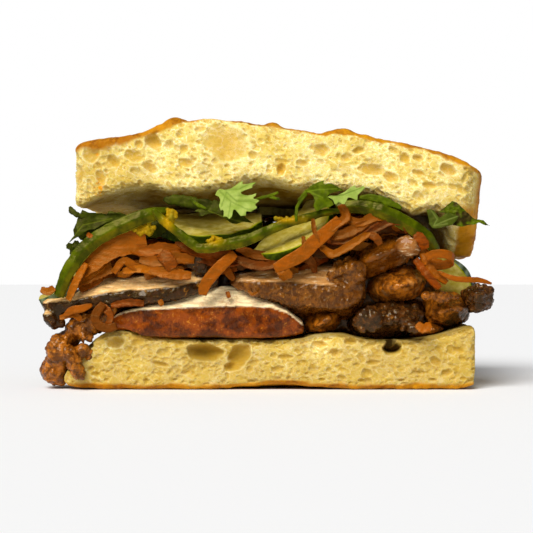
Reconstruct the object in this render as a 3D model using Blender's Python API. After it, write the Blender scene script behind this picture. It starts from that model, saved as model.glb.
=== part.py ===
"""Half of a banh mi on thick flat bread, with its cut face to the front.

Lengths are in millimetres and become metres when a mesh is made.  +X runs to
the right along the cut face, -Y points out of it and +Z is up.  The origin
lies on the table, under the middle of the lower bread.
"""

import math

import bmesh
import bpy
import numpy as np
from mathutils import Euler, Matrix, Vector, noise
from mathutils.geometry import tessellate_polygon

MM = 0.001

# Driving dimensions of the bread.
DEPTH = 76.0
FRONT = -DEPTH / 2
BACK = DEPTH / 2
LOWER_LEFT, LOWER_RIGHT = -73.2, 72.4
UPPER_LEFT, UPPER_RIGHT = -69.2, 76.4
UNDERSIDE = 66.0        # height of the upper bread's cut underside
LIP_FOOT = 46.5         # how low the side crust of the upper bread hangs

GAP = 0.35              # air between two pieces that touch
EASE = 1.6              # how far a profile's corners are rounded along x
CRUMBLE = 11.0          # spacing of the unevenness of meat and bread
DRAPE = 8.0             # length over which a slice bends down onto what it lies on
SLACK = 0.001           # share by which a cut piece's volume may be off
LEAST_LEFT = 0.3        # share of a piece that stays when its neighbours are cut out of it
CROWDING = 1.6          # above 1, the cells of a slice lie closer together toward the cut face

COLOURS = {
    "bread": (0.80, 0.66, 0.30),
    "chicken": (0.32, 0.14, 0.03),
    "char": (0.06, 0.03, 0.015),
    "cucumber": (0.55, 0.50, 0.18),
    "pepper": (0.16, 0.24, 0.01),
    "carrot": (0.75, 0.22, 0.01),
    "coriander": (0.10, 0.20, 0.02),
}
GLOSS = {"bread": 0.85, "chicken": 0.4, "char": 0.5, "cucumber": 0.35, "pepper": 0.25, "carrot": 0.35,
         "coriander": 0.45}


# ---------------------------------------------------------------- helpers

def clear_scene():
    for thing in list(bpy.data.objects):
        bpy.data.objects.remove(thing)


def finish_material(name):
    material = bpy.data.materials.get(name)
    if material is None:
        material = bpy.data.materials.new(name)
        material.use_nodes = True
        surface = material.node_tree.nodes["Principled BSDF"]
        surface.inputs["Base Color"].default_value = (*COLOURS[name], 1)
        surface.inputs["Roughness"].default_value = GLOSS[name]
        surface.inputs["Metallic"].default_value = 0
    return material


def profile(*points):
    """A height along x that passes near the points, with its corners eased."""
    places, heights = zip(*points)

    def height(x):
        return sum(np.interp(x + step, places, heights) for step in (-EASE, 0, EASE)) / 3

    return height


def mix(a, b, share):
    return a + (b - a) * share


def eased(value, low, high):
    """0 below low, 1 above high, smooth between."""
    share = min(1.0, max(0.0, (value - low) / (high - low)))
    return share * share * (3 - 2 * share)


def ripple(x, y, z, spacing, seed):
    """Smooth unevenness between about -1 and 1."""
    return noise.noise(Vector((x, y, z)) / spacing + Vector((seed * 7.3, seed * 1.9, -seed * 4.1)))


def smooth_path(points, steps):
    """Points at even shares along a smooth curve through the given points."""
    knots = [Vector(p) for p in points]
    knots = [2 * knots[0] - knots[1], *knots, 2 * knots[-1] - knots[-2]]
    spans = len(knots) - 3
    path = []
    for step in range(steps + 1):
        place = min(step / steps * spans, spans - 1e-6)
        i = int(place)
        t = place - i
        a, b, c, d = knots[i:i + 4]
        path.append(0.5 * (2 * b + (c - a) * t + (2 * a - 5 * b + 4 * c - d) * t * t
                           + (3 * b - a - 3 * c + d) * t ** 3))
    return path


def facing_out(mesh):
    """Turns a closed mesh's faces outward, thin and curled ones too."""
    bmesh.ops.recalc_face_normals(mesh, faces=mesh.faces)
    if mesh.calc_volume(signed=True) < 0:
        bmesh.ops.reverse_faces(mesh, faces=mesh.faces)
    return mesh


def block(cells, shape):
    """A closed box of cells = (across, deep, high) quads; shape turns unit coordinates into millimetres."""
    across, deep, high = cells
    mesh = bmesh.new()
    bmesh.ops.create_grid(mesh, x_segments=across, y_segments=deep, size=0.5)
    lid = bmesh.ops.extrude_face_region(mesh, geom=mesh.faces[:])["geom"]
    lifted = [part for part in lid if isinstance(part, bmesh.types.BMVert)]
    bmesh.ops.translate(mesh, verts=lifted, vec=(0, 0, 1))
    posts = [edge for edge in mesh.edges if abs(edge.verts[0].co.z - edge.verts[1].co.z) > 0.5]
    if high > 1:
        bmesh.ops.subdivide_edges(mesh, edges=posts, cuts=high - 1, use_grid_fill=True)
    for point in mesh.verts:
        point.co = Vector(shape(point.co.x + 0.5, point.co.y + 0.5, point.co.z)) * MM
    return facing_out(mesh)


def place(name, mesh, material):
    """Puts a bmesh into the scene as a named object."""
    data = bpy.data.meshes.new(name)
    bmesh.ops.triangulate(mesh, faces=mesh.faces)
    mesh.to_mesh(data)
    mesh.free()
    data.materials.append(finish_material(material))
    data.shade_smooth()
    thing = bpy.data.objects.new(name, data)
    bpy.context.scene.collection.objects.link(thing)
    return thing


def corners(thing):
    points = np.array([vertex.co for vertex in thing.data.vertices])
    return points.min(0), points.max(0)


def near(one, other):
    (low_a, high_a), (low_b, high_b) = corners(one), corners(other)
    reach = 2 * GAP * MM
    return bool((low_a < high_b + reach).all() and (low_b < high_a + reach).all())


def grown(thing):
    """A hidden copy of a piece, swollen by the gap that its neighbour keeps to it."""
    swollen = bmesh.new()
    swollen.from_mesh(thing.data)
    swollen.normal_update()
    for point, normal in [(point, point.normal.copy()) for point in swollen.verts]:
        point.co += normal * GAP * MM * point.calc_shell_factor()
    cutter = place("cutter", swollen, "bread")
    cutter.hide_render = True
    cutter.display_type = "WIRE"
    return cutter


def keep_largest(data):
    """Triangulates a mesh and deletes all but the largest of its loose parts."""
    mesh = bmesh.new()
    mesh.from_mesh(data)
    left = set(mesh.verts)
    islands = []
    while left:
        island, rim = set(), [left.pop()]
        while rim:
            point = rim.pop()
            island.add(point)
            joined = {edge.other_vert(point) for edge in point.link_edges} & left
            left -= joined
            rim.extend(joined)
        islands.append(island)
    islands.sort(key=len)
    for island in islands[:-1]:
        bmesh.ops.delete(mesh, geom=list(island), context="VERTS")
    bmesh.ops.triangulate(mesh, faces=mesh.faces)
    mesh.to_mesh(data)
    mesh.free()


def volume(data):
    """The room inside a closed mesh, or None where an edge is open or shared by more than two faces."""
    mesh = bmesh.new()
    mesh.from_mesh(data)
    room = mesh.calc_volume(signed=True) if all(edge.is_manifold for edge in mesh.edges) else None
    mesh.free()
    return room


def combined(thing, other, operation):
    """The mesh that a Boolean makes of two pieces, by the manifold solver where the exact one fails."""
    step = thing.modifiers.new("combine", "BOOLEAN")
    step.operation = operation
    step.object = other
    before, change = volume(thing.data), volume(other.data)
    least = max(before - change, LEAST_LEFT * before) if operation == "DIFFERENCE" else before
    most = before if operation == "DIFFERENCE" else before + change
    for solver in ("EXACT", "MANIFOLD"):
        step.solver = solver
        bpy.context.view_layer.update()
        data = bpy.data.meshes.new_from_object(thing.evaluated_get(bpy.context.evaluated_depsgraph_get()))
        after = volume(data)
        if after is not None and least * (1 - SLACK) <= after <= most * (1 + SLACK):
            break
    else:
        raise ValueError(f"{thing.name} can't be combined with {other.name}")
    thing.modifiers.remove(step)
    return data


def trim(thing, neighbours):
    """Cuts the neighbours, with their gap, out of a piece that is laid on or round them."""
    for neighbour in neighbours:
        if not near(thing, neighbour):
            continue
        cutter = grown(neighbour)
        thing.data = combined(thing, cutter, "DIFFERENCE")
        bpy.data.objects.remove(cutter)
        keep_largest(thing.data)
    return thing


# ---------------------------------------------------------------- bread

def lower_bread():
    """The bottom slab: crust below, its left end torn to a slope, a shallow arch under the cut face."""
    top = profile((-73.2, 4), (-71.5, 9), (-67, 13.5), (-63, 17.3), (-57, 20.8), (-50, 21.2), (-44, 19),
                  (-36, 17.8), (10, 17.6), (15, 19.3), (26, 20), (31, 17.8), (46, 17.2), (52, 17.6),
                  (60, 19.4),
                  (66, 21.6), (72.4, 22.4))
    arch_middle, arch_half, arch_rise, arch_depth = 5.0, 26.0, 2.2, 14.0

    def shape(u, v, w):
        y = mix(FRONT, BACK, v)
        x = mix(LOWER_LEFT, LOWER_RIGHT, u)
        inner = 1 - eased(abs(x - arch_middle), 0, arch_half)
        arch = arch_rise * inner * (1 - eased(y - FRONT, 0, arch_depth))
        rounded_rim = 1.6 * (1 - eased(min(u, 1 - u), 0, 0.035)) + 1.2 * eased(v, 0.93, 1)
        z = mix(arch + rounded_rim, top(x) - 1.5 * eased(v, 0.85, 1), w)
        bulge = math.sin(math.pi * w)
        x += 1.0 * ripple(x, y, z, CRUMBLE, 1) * bulge
        y += 0.8 * ripple(x, y, z, CRUMBLE, 2) * bulge + 1.5 * bulge * (v > 0.99)
        return x, y, z

    return place("bread_lower", block((28, 5, 2), shape), "bread")


def upper_bread():
    """The top slab: a bubbly crust, an underside that lifts at the cut face, a side crust hanging lower."""
    crown = profile((-69.2, 86), (-65, 88.4), (-51.5, 89.6), (-44.5, 91.4), (-37, 94.8), (-31, 94.6),
                    (-23, 96.3),
                    (-15, 95.6), (-5, 93.8), (8.5, 92), (18, 90.2), (29.5, 91.4), (35.5, 89.2),
                    (45.5, 87.2),
                    (56, 85.4), (65, 82.6), (70, 80), (76.4, 78))
    edge = profile((-69.2, 63.4), (-63.6, 66), (-59.5, 69), (-48, 72), (-40, 71.5), (-36, 70.2),
                   (-27, 70.2),
                   (-15, 72), (-5, 74.6), (1, 73.8), (8, 71.4), (30, 70.8), (38, 69), (43.5, 66.5),
                   (48, 62),
                   (53, 60.8), (56, 64.5), (68, 62.4), (74.8, 62))
    lip_front, lip_inside, lip_outside = -25.0, 62.0, 74.0

    def shape(u, v, w):
        y = mix(FRONT, BACK, v)
        corner = 5.5 * (1 - eased(y - FRONT, 0, 11))
        right = mix(lip_outside, UPPER_RIGHT, w) - corner
        x = mix(UPPER_LEFT, right, u)
        high = crown(x) - 2.0 * v - 8.0 * eased(v, 0.86, 1) ** 2
        high += 1.3 * ripple(x, y, 0, 15, 5) * eased(v, 0, 0.12)
        behind = eased(y - FRONT, 2, 24)
        low = mix(edge(x), min(UNDERSIDE, edge(x)), behind)
        hang = eased(x, lip_inside - 3, lip_inside + 1) * eased(y, lip_front - 5, lip_front + 1)
        low = mix(low, LIP_FOOT + 0.8 * ripple(x, y, 0, 9, 6), hang)
        low -= 5.5 * eased(v, 0.85, 0.97) * (1 - hang)
        z = mix(low, high, w)
        bulge = math.sin(math.pi * w)
        x += 0.8 * ripple(x, y, z, CRUMBLE, 3) * bulge
        y += 0.8 * ripple(x, y, z, CRUMBLE, 4) * bulge + 2.0 * bulge * (v > 0.99)
        return x, y, z

    return place("bread_upper", block((30, 7, 2), shape), "bread")


# ---------------------------------------------------------------- chicken

def fall(v):
    """How much lower the filling lies at v of the way to the back than at the cut face."""
    return 4 * eased(v, 0.3, 1) + 2 * eased(v, 0.85, 1)


def chicken_slice(name, ends, low, lip, crest, front=FRONT, back=BACK - 3, sag=0.0, free=0.0, slope=0.2,
                  cells=(12, 5, 1), seed=0):
    """A slice that runs front to back: low is its foot, lip its front top edge, crest its height further in.

    slope is the share of its depth over which it rises to the crest.  Behind the cut face it sags onto what
    lies under it, but not over the length free at its left end.
    """
    foot, brow, height = profile(*low), profile(*lip), profile(*crest)

    def shape(u, v, w):
        x = mix(*ends, u)
        side = abs(2 * u - 1) ** 5
        far = v ** CROWDING
        y = mix(front + 4 * side, back - 12 * side, far)
        over = mix(brow(x), height(x), eased(far, 0, slope)) - fall(far)
        held = eased(x, ends[0] + free, ends[0] + free + DRAPE) if free else 1
        under = foot(x) - sag * eased(far, 0.02, 0.22) * held
        z = mix(min(under, over - 2), over, w)
        y -= 1.4 * math.sin(math.pi * w) * (v < 0.01)
        y += 1.1 * ripple(x, y, z, CRUMBLE, seed) * (abs(v - 0.5) > 0.49)
        z += 0.35 * ripple(x, y, z, CRUMBLE / 2, seed + 1) * (w > 0.5)
        return x, y, z

    return place(name, block(cells, shape), "chicken")


def lump_mesh(centre, size, turn, power=2.6, relief=1.0, swell=0.0, cells=(4, 5, 2), seed=0):
    """A rounded strip of meat: a box of the given size, corners rounded by power, turned by turn in degrees.

    swell is the share by which it is thicker half way along, where it presses on its neighbours.
    """
    rotation = Euler([math.radians(angle) for angle in turn]).to_matrix()

    def shape(u, v, w):
        unit = Vector((2 * u - 1, 2 * v - 1, 2 * w - 1))
        reach = max(abs(part) for part in unit)
        unit *= reach / sum(abs(part) ** power for part in unit) ** (1 / power)
        point = Vector(part * length / 2 for part, length in zip(unit, size))
        thicker = 1 + swell * eased(1 - abs(2 * v - 1), 0.05, 0.5)
        point.x *= thicker
        point.z *= thicker
        point += unit * relief * ripple(*point, CRUMBLE * 0.7, seed)
        return rotation @ point + Vector(centre)

    return block(cells, shape)


def chicken_strip(name, material="chicken", **form):
    return place(name, lump_mesh(**form), material)


def hanging_meat():
    """A pulled piece that slides off the left end of the lower bread: four joined lobes."""
    lobes = [
        dict(centre=(-63.5, -27, 24.2), size=(25, 28, 9.5), turn=(0, -30, 0), power=2.3, cells=(3, 3, 2),
             seed=31),
        dict(centre=(-75, -32, 13.2), size=(10.5, 18, 13), turn=(0, 10, 0), power=2.2, cells=(3, 3, 3),
             seed=32),
        dict(centre=(-77, -29, 6.2), size=(11, 16, 10), turn=(0, 0, 10), power=2.3, cells=(3, 3, 2),
             seed=33),
        dict(centre=(-69.2, -40.8, 9.4), size=(5.5, 6.5, 15), turn=(0, -28, 0), power=2.2, cells=(2, 2, 3),
             seed=34),
    ]
    whole = None
    for lobe in lobes:
        part = place("lobe", lump_mesh(relief=0.7, **lobe), "chicken")
        if whole is None:
            whole = part
            continue
        whole.data = combined(whole, part, "UNION")
        bpy.data.objects.remove(part)
    whole.name = "chicken_hanging"
    return whole


# ---------------------------------------------------------------- vegetables

def cucumber(name, centre, turn, radius=22.0, thick=3.6, span=0.9, spin=0.0):
    """A half-moon slice: its round rim faces -Y before it spins about its own axis and is turned."""
    rotation = Euler([math.radians(angle) for angle in turn]).to_matrix()
    rotation = rotation @ Matrix.Rotation(math.radians(spin), 3, "Z")

    def shape(u, v, w):
        x = radius * span * math.sin(math.pi * (u - 0.5))
        rim = -math.sqrt(radius ** 2 - x ** 2)
        y = mix(rim, 0.05 * radius * ripple(x, 0, 0, 9, 8), v)
        z = thick * (w - 0.5) + 0.9 * (x / radius) ** 2
        return rotation @ Vector((x, y + radius / 2, z)) + Vector(centre)

    return place(name, block((10, 2, 1), shape), "cucumber")


def ribbon(name, material, path, width, thick, facing=(0, -1, 0), steps=16, fold=0.0, taper=0.35,
           upright=None):
    """A strip along a path.  Its broad side looks along facing, or else its width follows upright.

    width is a length, or a profile along it.  fold raises a ridge down its middle.
    """
    line = smooth_path(path, steps)
    wide = width if callable(width) else profile((0, width), (1, width))

    def shape(u, v, w):
        i = round(u * steps)
        along = (line[min(i + 1, steps)] - line[max(i - 1, 0)]).normalized()
        if upright:
            out = along.cross(Vector(upright)).normalized()
            across = out.cross(along)
        else:
            across = along.cross(Vector(facing)).normalized()
            out = across.cross(along)
        narrow = 1 - taper * abs(2 * u - 1) ** 3
        offset = across * wide(u) * narrow * (v - 0.5)
        offset += out * (thick * (w - 0.5) + fold * (1 - abs(2 * v - 1)))
        return line[i] + offset

    return place(name, block((steps, 2 if fold else 1, 1), shape), material)


def lobed(size, lobes=3, teeth=4, opening=60):
    """The outline of a whole coriander leaf: a fan of lobes with small teeth, open at the stem."""
    steps = 2 * teeth * lobes
    outline = [(0, -0.06 * size)]
    for i in range(steps + 1):
        share = i / steps
        lobe = abs(math.sin(math.pi * share * lobes)) ** 0.5
        reach = size / 2 * (0.38 + 0.5 * lobe + 0.12 * (i % 2 == 0))
        angle = math.radians(360 - opening) * (share - 0.5)
        outline.append((reach * math.sin(angle), reach * math.cos(angle)))
    return outline


def leaf(name, centre, turn, outline, thick=0.7, cup=0.011):
    """A coriander leaf, facing -Y before it is turned.  outline goes round it, across and up from its middle.

    It is cupped: its edge lies cup times the square of the distance from its middle further back.
    """
    rotation = Euler([math.radians(angle) for angle in turn]).to_matrix()
    mesh = bmesh.new()
    sides = []
    for side in (-1, 1):
        spots = [Vector((x, side * thick / 2 + cup * (x * x + z * z), z)) for x, z in outline]
        sides.append([mesh.verts.new((rotation @ spot + Vector(centre)) * MM) for spot in spots])
    front, back = sides
    for a, b, c in tessellate_polygon([[Vector((x, z, 0)) for x, z in outline]]):
        mesh.faces.new((front[a], front[b], front[c]))
        mesh.faces.new((back[c], back[b], back[a]))
    for i, _ in enumerate(outline):
        mesh.faces.new((front[i - 1], front[i], back[i], back[i - 1]))
    return place(name, facing_out(mesh), "coriander")


def carrot_heap():
    """The bed of shredded carrot, out to its uneven outline, on the meat and thin at both ends."""
    left, right, brow = -64.5, 54.0, 3.2
    foot = profile((-64.5, 39.6), (-57, 41.2), (-50, 42.4), (-35, 43), (-24, 45), (-18, 44.4), (-12, 43.2),
                   (-4, 44.6), (4, 45.4), (12, 47), (22, 47.6), (28, 51), (34, 54.2), (42, 56.4), (47, 54.6),
                   (54, 47.4))
    brim = profile((-64.5, 44), (-57, 51.4), (-48, 54.4), (-43, 52.4), (-38, 48.8), (-26, 47.8), (-10, 47.2),
                   (2, 47.4), (10, 50.6), (16, 54.6), (24, 59), (34, 61), (42, 60), (48, 58), (54, 53))
    top = profile((-64.5, 44), (-57, 51.4), (-44, 56.4), (-34, 59), (-20, 61), (0, 62), (20, 63), (34, 62),
                  (42, 60.4), (48, 58.6), (54, 53.4))

    def shape(u, v, w):
        x = mix(left, right, u)
        side = abs(2 * u - 1) ** 4
        y = mix(FRONT + 1 + 6 * side, BACK - 2 - 6 * side, v)
        low = foot(x) - brow * (1 - eased(v, 0, 0.22)) - fall(v)
        high = mix(brim(x), top(x), eased(v, 0.2, 0.5)) - 3 * eased(v, 0.8, 1)
        z = mix(low, high, w)
        y += 1.6 * ripple(x, y, z, 6, 41) * (abs(v - 0.5) > 0.49)
        z += 0.7 * ripple(x, y, z, 7, 42) * (w > 0.9)
        return x, y, z

    return place("carrot_heap", block((20, 5, 2), shape), "carrot")


# ---------------------------------------------------------------- the sandwich

# Outlines of the leaves seen best: tips and notches in turn, across and up from the middle.
FRONT_LEAF = ((-8.1, 2.0), (-7.4, 3.8), (-6.3, 4.5), (-4.5, 4.0), (-2.1, 4.5), (0.7, 6.8), (2.4, 7.4),
              (1.6, 5.9),
              (3.7, 6.2), (5.4, 6.8), (6.8, 6.6), (5.2, 5.1), (5.6, 4.5), (3.0, 3.5), (1.2, 2.6),
              (2.4, 2.0),
              (3.7, 1.8), (5.4, 2.1), (7.0, 2.8), (6.8, 1.5), (5.1, 0.2), (6.8, 0.6), (8.2, -0.2),
              (6.6, -1.7),
              (7.5, -2.4), (7.3, -3.0), (5.1, -4.5), (3.6, -4.2), (3.8, -5.8), (1.6, -6.0), (-0.8, -3.3),
              (-1.2, -6.0), (-2.3, -7.1), (-3.5, -6.0), (-4.7, -6.2), (-4.5, -3.5), (-5.6, -4.0),
              (-6.4, -2.1),
              (-6.0, 0), (-6.6, 1.2))
UNDER_LEAF = ((-10.9, 5.0), (-8.5, 3.4), (-7.0, 2.0), (-5.3, 1.4), (-3.5, 4.0), (-3.2, 5.8), (1.8, 4.0),
              (7.8, -0.8),
              (11.3, -3.1), (7.2, -2.9), (4.8, -4.0), (3.0, -3.7), (0.9, -2.1), (-3.0, 0.1), (-5.6, -0.4),
              (-7.2, -1.0), (-8.3, -0.5), (-8.0, 0.8), (-10.0, 1.1), (-9.2, 2.0), (-8.0, 2.2))
BROAD_LEAF = ((-6.9, -2.3), (-5.7, -0.2), (-4.7, 1.2), (-3.5, 1.7), (-2.2, 3.0), (0.5, 4.3), (2.8, 5.0),
              (2.0, 2.9),
              (3.3, 3.6), (4.8, 3.7), (6.9, 2.8), (9.9, 1.0), (7.9, 0.8), (4.7, -0.2), (3.3, -1.5),
              (5.0, -2.6),
              (5.8, -4.2), (4.3, -5.1), (2.0, -5.5), (-0.3, -6.8), (-1.2, -6.3), (-1.9, -4.6), (-1.4, -3.0),
              (-1.8, -1.3), (-3.1, 0), (-4.3, -0.6), (-5.8, -2.0))
PALE_LEAF = ((-6.0, -1.4), (-4.7, -0.7), (-2.2, -0.7), (0.4, 0.6), (2.3, 2.2), (4.4, 3.3), (4.2, 2.0),
             (5.7, 2.2),
             (7.6, 3.3), (6.9, 2.4), (8.0, 2.2), (7.0, 1.0), (5.2, -0.7), (5.0, -2.4), (4.6, -2.8),
             (2.7, -2.0),
             (1.6, -1.7), (1.3, -2.6), (0.5, -4.0), (-0.4, -4.2), (-1.6, -3.4), (-2.6, -4.4), (-3.3, -3.9),
             (-3.7, -2.7), (-4.7, -2.0))
LOBED_LEAF = ((-5.2, 3.2), (-3.5, 3.4), (-2.3, 2.9), (-1.4, 1.5), (-0.4, 0.1), (1.0, 1.5), (2.4, 2.2),
              (4.4, 1.5),
              (6.5, 0.8), (5.5, -0.9), (3.9, -2.6), (1.7, -3.1), (-1.1, -3.8), (-3.1, -3.7), (-4.2, -2.3),
              (-4.4, -0.6), (-4.9, 1.5))
CURLED_LEAF = ((-8.4, 0.5), (-6.3, 2.2), (-3.9, 4.1), (-3.3, 4.7), (-1.5, 3.9), (0.9, 1.5), (3.3, -0.9),
               (4.7, -2.0),
               (6.4, -2.0), (7.8, -2.3), (8.9, -3.6), (10.1, -4.3), (8.2, -4.3), (6.1, -3.4), (4.4, -4.2),
               (2.3, -4.4), (-0.1, -5.1), (-3.4, -4.4), (-5.5, -2.0), (-6.0, 0))
LONG_LEAF = ((-3.5, 4.2), (-4.3, 2.4), (-5.3, 0.6), (-5.7, -1.7), (-5.2, -4.0), (-7.2, -6.5), (-8.1, -7.6),
             (-7.7, -8.0), (-6.2, -6.8), (-3.9, -5.6), (-2.3, -4.4), (-0.8, -3.5), (1.0, -3.3), (1.6, -4.9),
             (6.8, -2.3), (10.5, -0.5), (14.8, 1.4), (12.1, 2.4), (8.6, 3.1), (4.3, 2.6), (1.2, 2.9),
             (-1.0, 3.0))


def chicken():
    low = chicken_slice(
        "chicken_slice_lower", (-57.5, 11.5),
        low=((-57.5, 22), (-54, 19.2), (-48, 18.6), (0, 18.4), (8, 18.6), (11.5, 20)),
        lip=((-57.5, 24.5), (-53, 27.6), (-45, 28.6), (-30, 29), (-10, 29.4), (0, 29.6), (5, 28.4),
             (11.5, 22)),
        crest=((-57.5, 26), (-45, 29.4), (-33, 32.6), (-25, 35.4), (-18, 36.4), (-10, 35.8), (-4, 33.4),
               (2, 31),
               (11.5, 23)),
        front=FRONT - 1.5, slope=0.07, seed=11)
    strips = [
        low,
        hanging_meat(),
        chicken_strip("chicken_strip_dark", "char", centre=(42.8, -1, 24.4), size=(30, 77, 13.4),
                      turn=(0, -9, 0),
                      power=2.8, swell=0.05, seed=12),
        chicken_strip("chicken_strip_right", centre=(63.6, -2, 28.2), size=(21, 72, 14), turn=(0, -14, 0),
                      power=2.5, seed=13),
        chicken_strip("chicken_strip_under", centre=(56, -2, 20.6), size=(17, 66, 5.5), turn=(0, -6, 0),
                      power=2.8, seed=14, relief=0.5, cells=(3, 5, 2)),
        chicken_strip("chicken_strip_small", centre=(18.6, -4, 23.8), size=(15, 66, 9), turn=(0, -32, 0),
                      power=2.8, swell=0.2, seed=15, relief=0.6, cells=(3, 5, 2)),
        chicken_strip("chicken_knob_right", "char", centre=(73.8, -26, 32.2), size=(11.5, 28, 9),
                      turn=(0, 14, 0),
                      power=2.3, seed=16, relief=0.8, cells=(4, 5, 3)),
    ]
    left = chicken_slice(
        "chicken_slice_left", (-81, -19),
        low=((-81, 29), (-78, 27), (-72, 27.2), (-62, 29), (-50, 30), (-40, 31.2), (-30, 33), (-24, 35.2),
             (-19, 37.5)),
        lip=((-81, 30.4), (-76, 30.8), (-68, 31.8), (-60, 33.6), (-50, 34.8), (-35, 35.8), (-26, 37.6),
             (-19, 40)),
        crest=((-81, 31.4), (-70, 34.6), (-62, 39.4), (-50, 41.4), (-35, 41.6), (-24, 45), (-19, 44)),
        front=FRONT - 2, back=BACK - 6, sag=6, free=22, slope=0.12, seed=17)
    middle = chicken_slice(
        "chicken_slice_middle", (-14, 33),
        low=((-14, 37), (-10, 35.4), (-4, 33.2), (2, 31.4), (8, 29.9), (14, 29.4), (20, 28.8), (26, 28.2),
             (30, 30),
             (33, 34)),
        lip=((-14, 38.8), (-8, 38.2), (0, 38.4), (6, 38), (12, 37.4), (18, 36.8), (25, 36), (30, 38.5),
             (33, 39)),
        crest=((-14, 41), (-6, 43), (4, 44), (12, 45.6), (20, 45.8), (27, 45.4), (33, 42)),
        front=FRONT - 2, back=BACK - 4, sag=5, slope=0.12, cells=(10, 5, 1), seed=18)
    strips += [
        left,
        middle,
        chicken_strip("chicken_strip_torn", centre=(46, -2, 36.8), size=(22.4, 76, 13.4), turn=(0, -12, 0),
                      power=2.6, swell=0.14, seed=19),
        chicken_strip("chicken_strip_skin", centre=(39.4, -3, 47.6), size=(28, 76, 13.6), turn=(0, -22, 0),
                      power=2.9, swell=0.05, seed=20, relief=0.6),
    ]
    return strips


def cucumbers():
    return [
        cucumber("cucumber_front_left", (-23, -27.5, 56.5), (22, 0, 0)),
        cucumber("cucumber_front_middle", (10.6, -33.8, 55.4), (30, -22, 0), radius=19, thick=2.8, spin=35),
        cucumber("cucumber_left_tip", (-73.6, -30, 35.4), (14, -34, -8), radius=12),
        cucumber("cucumber_right", (64.4, -27, 39.4), (-66, 45, 0), radius=13, span=0.86),
        cucumber("cucumber_back_left", (-34, 16, 62.4), (-3, 2, 172)),
        cucumber("cucumber_back_right", (14, 16, 63.2), (2, -1, 188)),
    ]


def peppers():
    return [
        ribbon("pepper_left", "pepper",
               ((-74.5, -41, 33), (-71.4, -42, 41), (-66.2, -42, 48.6), (-60, -42, 53.8), (-53, -42, 57.5),
                (-45.3, -41.5, 60.6), (-40.7, -40.5, 62), (-36, -39, 62.6)),
               width=5.4, thick=1.8, fold=0.8),
        ribbon("pepper_middle", "pepper",
               ((-41.2, -43, 63.5), (-38.4, -43.4, 60), (-33.7, -43.8, 56.2), (-29.1, -44.2, 52.5),
                (-24.4, -44.8, 49.5), (-16.5, -45, 51), (-9.5, -45, 52.4), (-4.4, -44.8, 54.4),
                (2.2, -44, 57.4), (9.2, -42.5, 59.5), (18.5, -40.5, 62.2), (24, -38, 63)),
               width=profile((0, 3.4), (0.3, 3.8), (0.42, 4.6), (0.52, 6.4), (0.62, 5.4), (0.72, 4), (1, 3)),
               thick=1.6, fold=0.5, steps=20),
        ribbon("pepper_right", "pepper",
               ((23, -37, 64.2), (30, -38.5, 64.6), (37, -40, 63.4), (43.8, -40.5, 60.4), (49.8, -40, 57),
                (55, -38, 53.4), (58.6, -35, 48.6)),
               width=5.2, thick=2.0, fold=0.9),
        ribbon("pepper_back_left", "pepper",
               ((-58, 37, 48), (-48, 38.5, 54), (-36, 39.5, 56), (-24, 39, 53), (-12, 38, 50)),
               width=4.4, thick=2.2, fold=0.7, facing=(0, 1, 0), steps=12),
        ribbon("pepper_back_right", "pepper",
               ((2, 38, 52), (14, 39, 55.6), (26, 39.5, 56.6), (38, 38.5, 54), (48, 37, 49)),
               width=4.4, thick=2.2, fold=0.7, facing=(0, 1, 0), steps=12),
    ]


def carrot_strips():
    """The shreds that lie clear of the heap."""
    curl = [(58.7 + 4.8 * math.cos(a), -42.4 - 2.4 * math.sin(a), 45.8 + 2.1 * math.sin(a))
            for a in np.linspace(math.radians(200), math.radians(520), 9)]
    return [
        ribbon("carrot_curl", "carrot", curl, width=3.2, thick=0.9, upright=(0, -0.2, 1), taper=0.2),
        ribbon("carrot_tail", "carrot",
               ((58.5, -43, 41.6), (63, -44, 39.4), (68, -44, 38.8), (73, -43, 38.6), (77.2, -42, 37.4)),
               width=2.0, thick=1.2, steps=10, taper=0.6),
        ribbon("carrot_over_slice", "carrot",
               ((-12.5, -42.5, 48), (-16, -43.5, 45), (-20, -43.8, 41), (-23, -43.6, 37), (-24, -43, 33.4)),
               width=4.2, thick=1.2, steps=10),
        ribbon("carrot_bent", "carrot",
               ((24, -42.5, 60), (19.5, -43.5, 55.5), (14.8, -44, 51.6), (11, -44.2, 47.8), (5.9, -44, 45),
                (1.2, -43.6, 42.7)),
               width=5.0, thick=1.3, steps=12),
        ribbon("carrot_left_loop", "carrot",
               ((-58.6, -42.4, 30.4), (-61.2, -42.6, 27), (-61, -42.6, 23.5), (-57.5, -42.6, 21.8),
                (-54, -42.8, 22.6)),
               width=3.2, thick=1.3, steps=12, taper=0.2),
        ribbon("carrot_left_tip", "carrot",
               ((-62.5, -43, 30), (-66.5, -43.2, 28.6), (-69.5, -43, 28.2), (-72.4, -42, 26)),
               width=2.8, thick=1.3, steps=8, taper=0.6),
    ]


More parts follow.
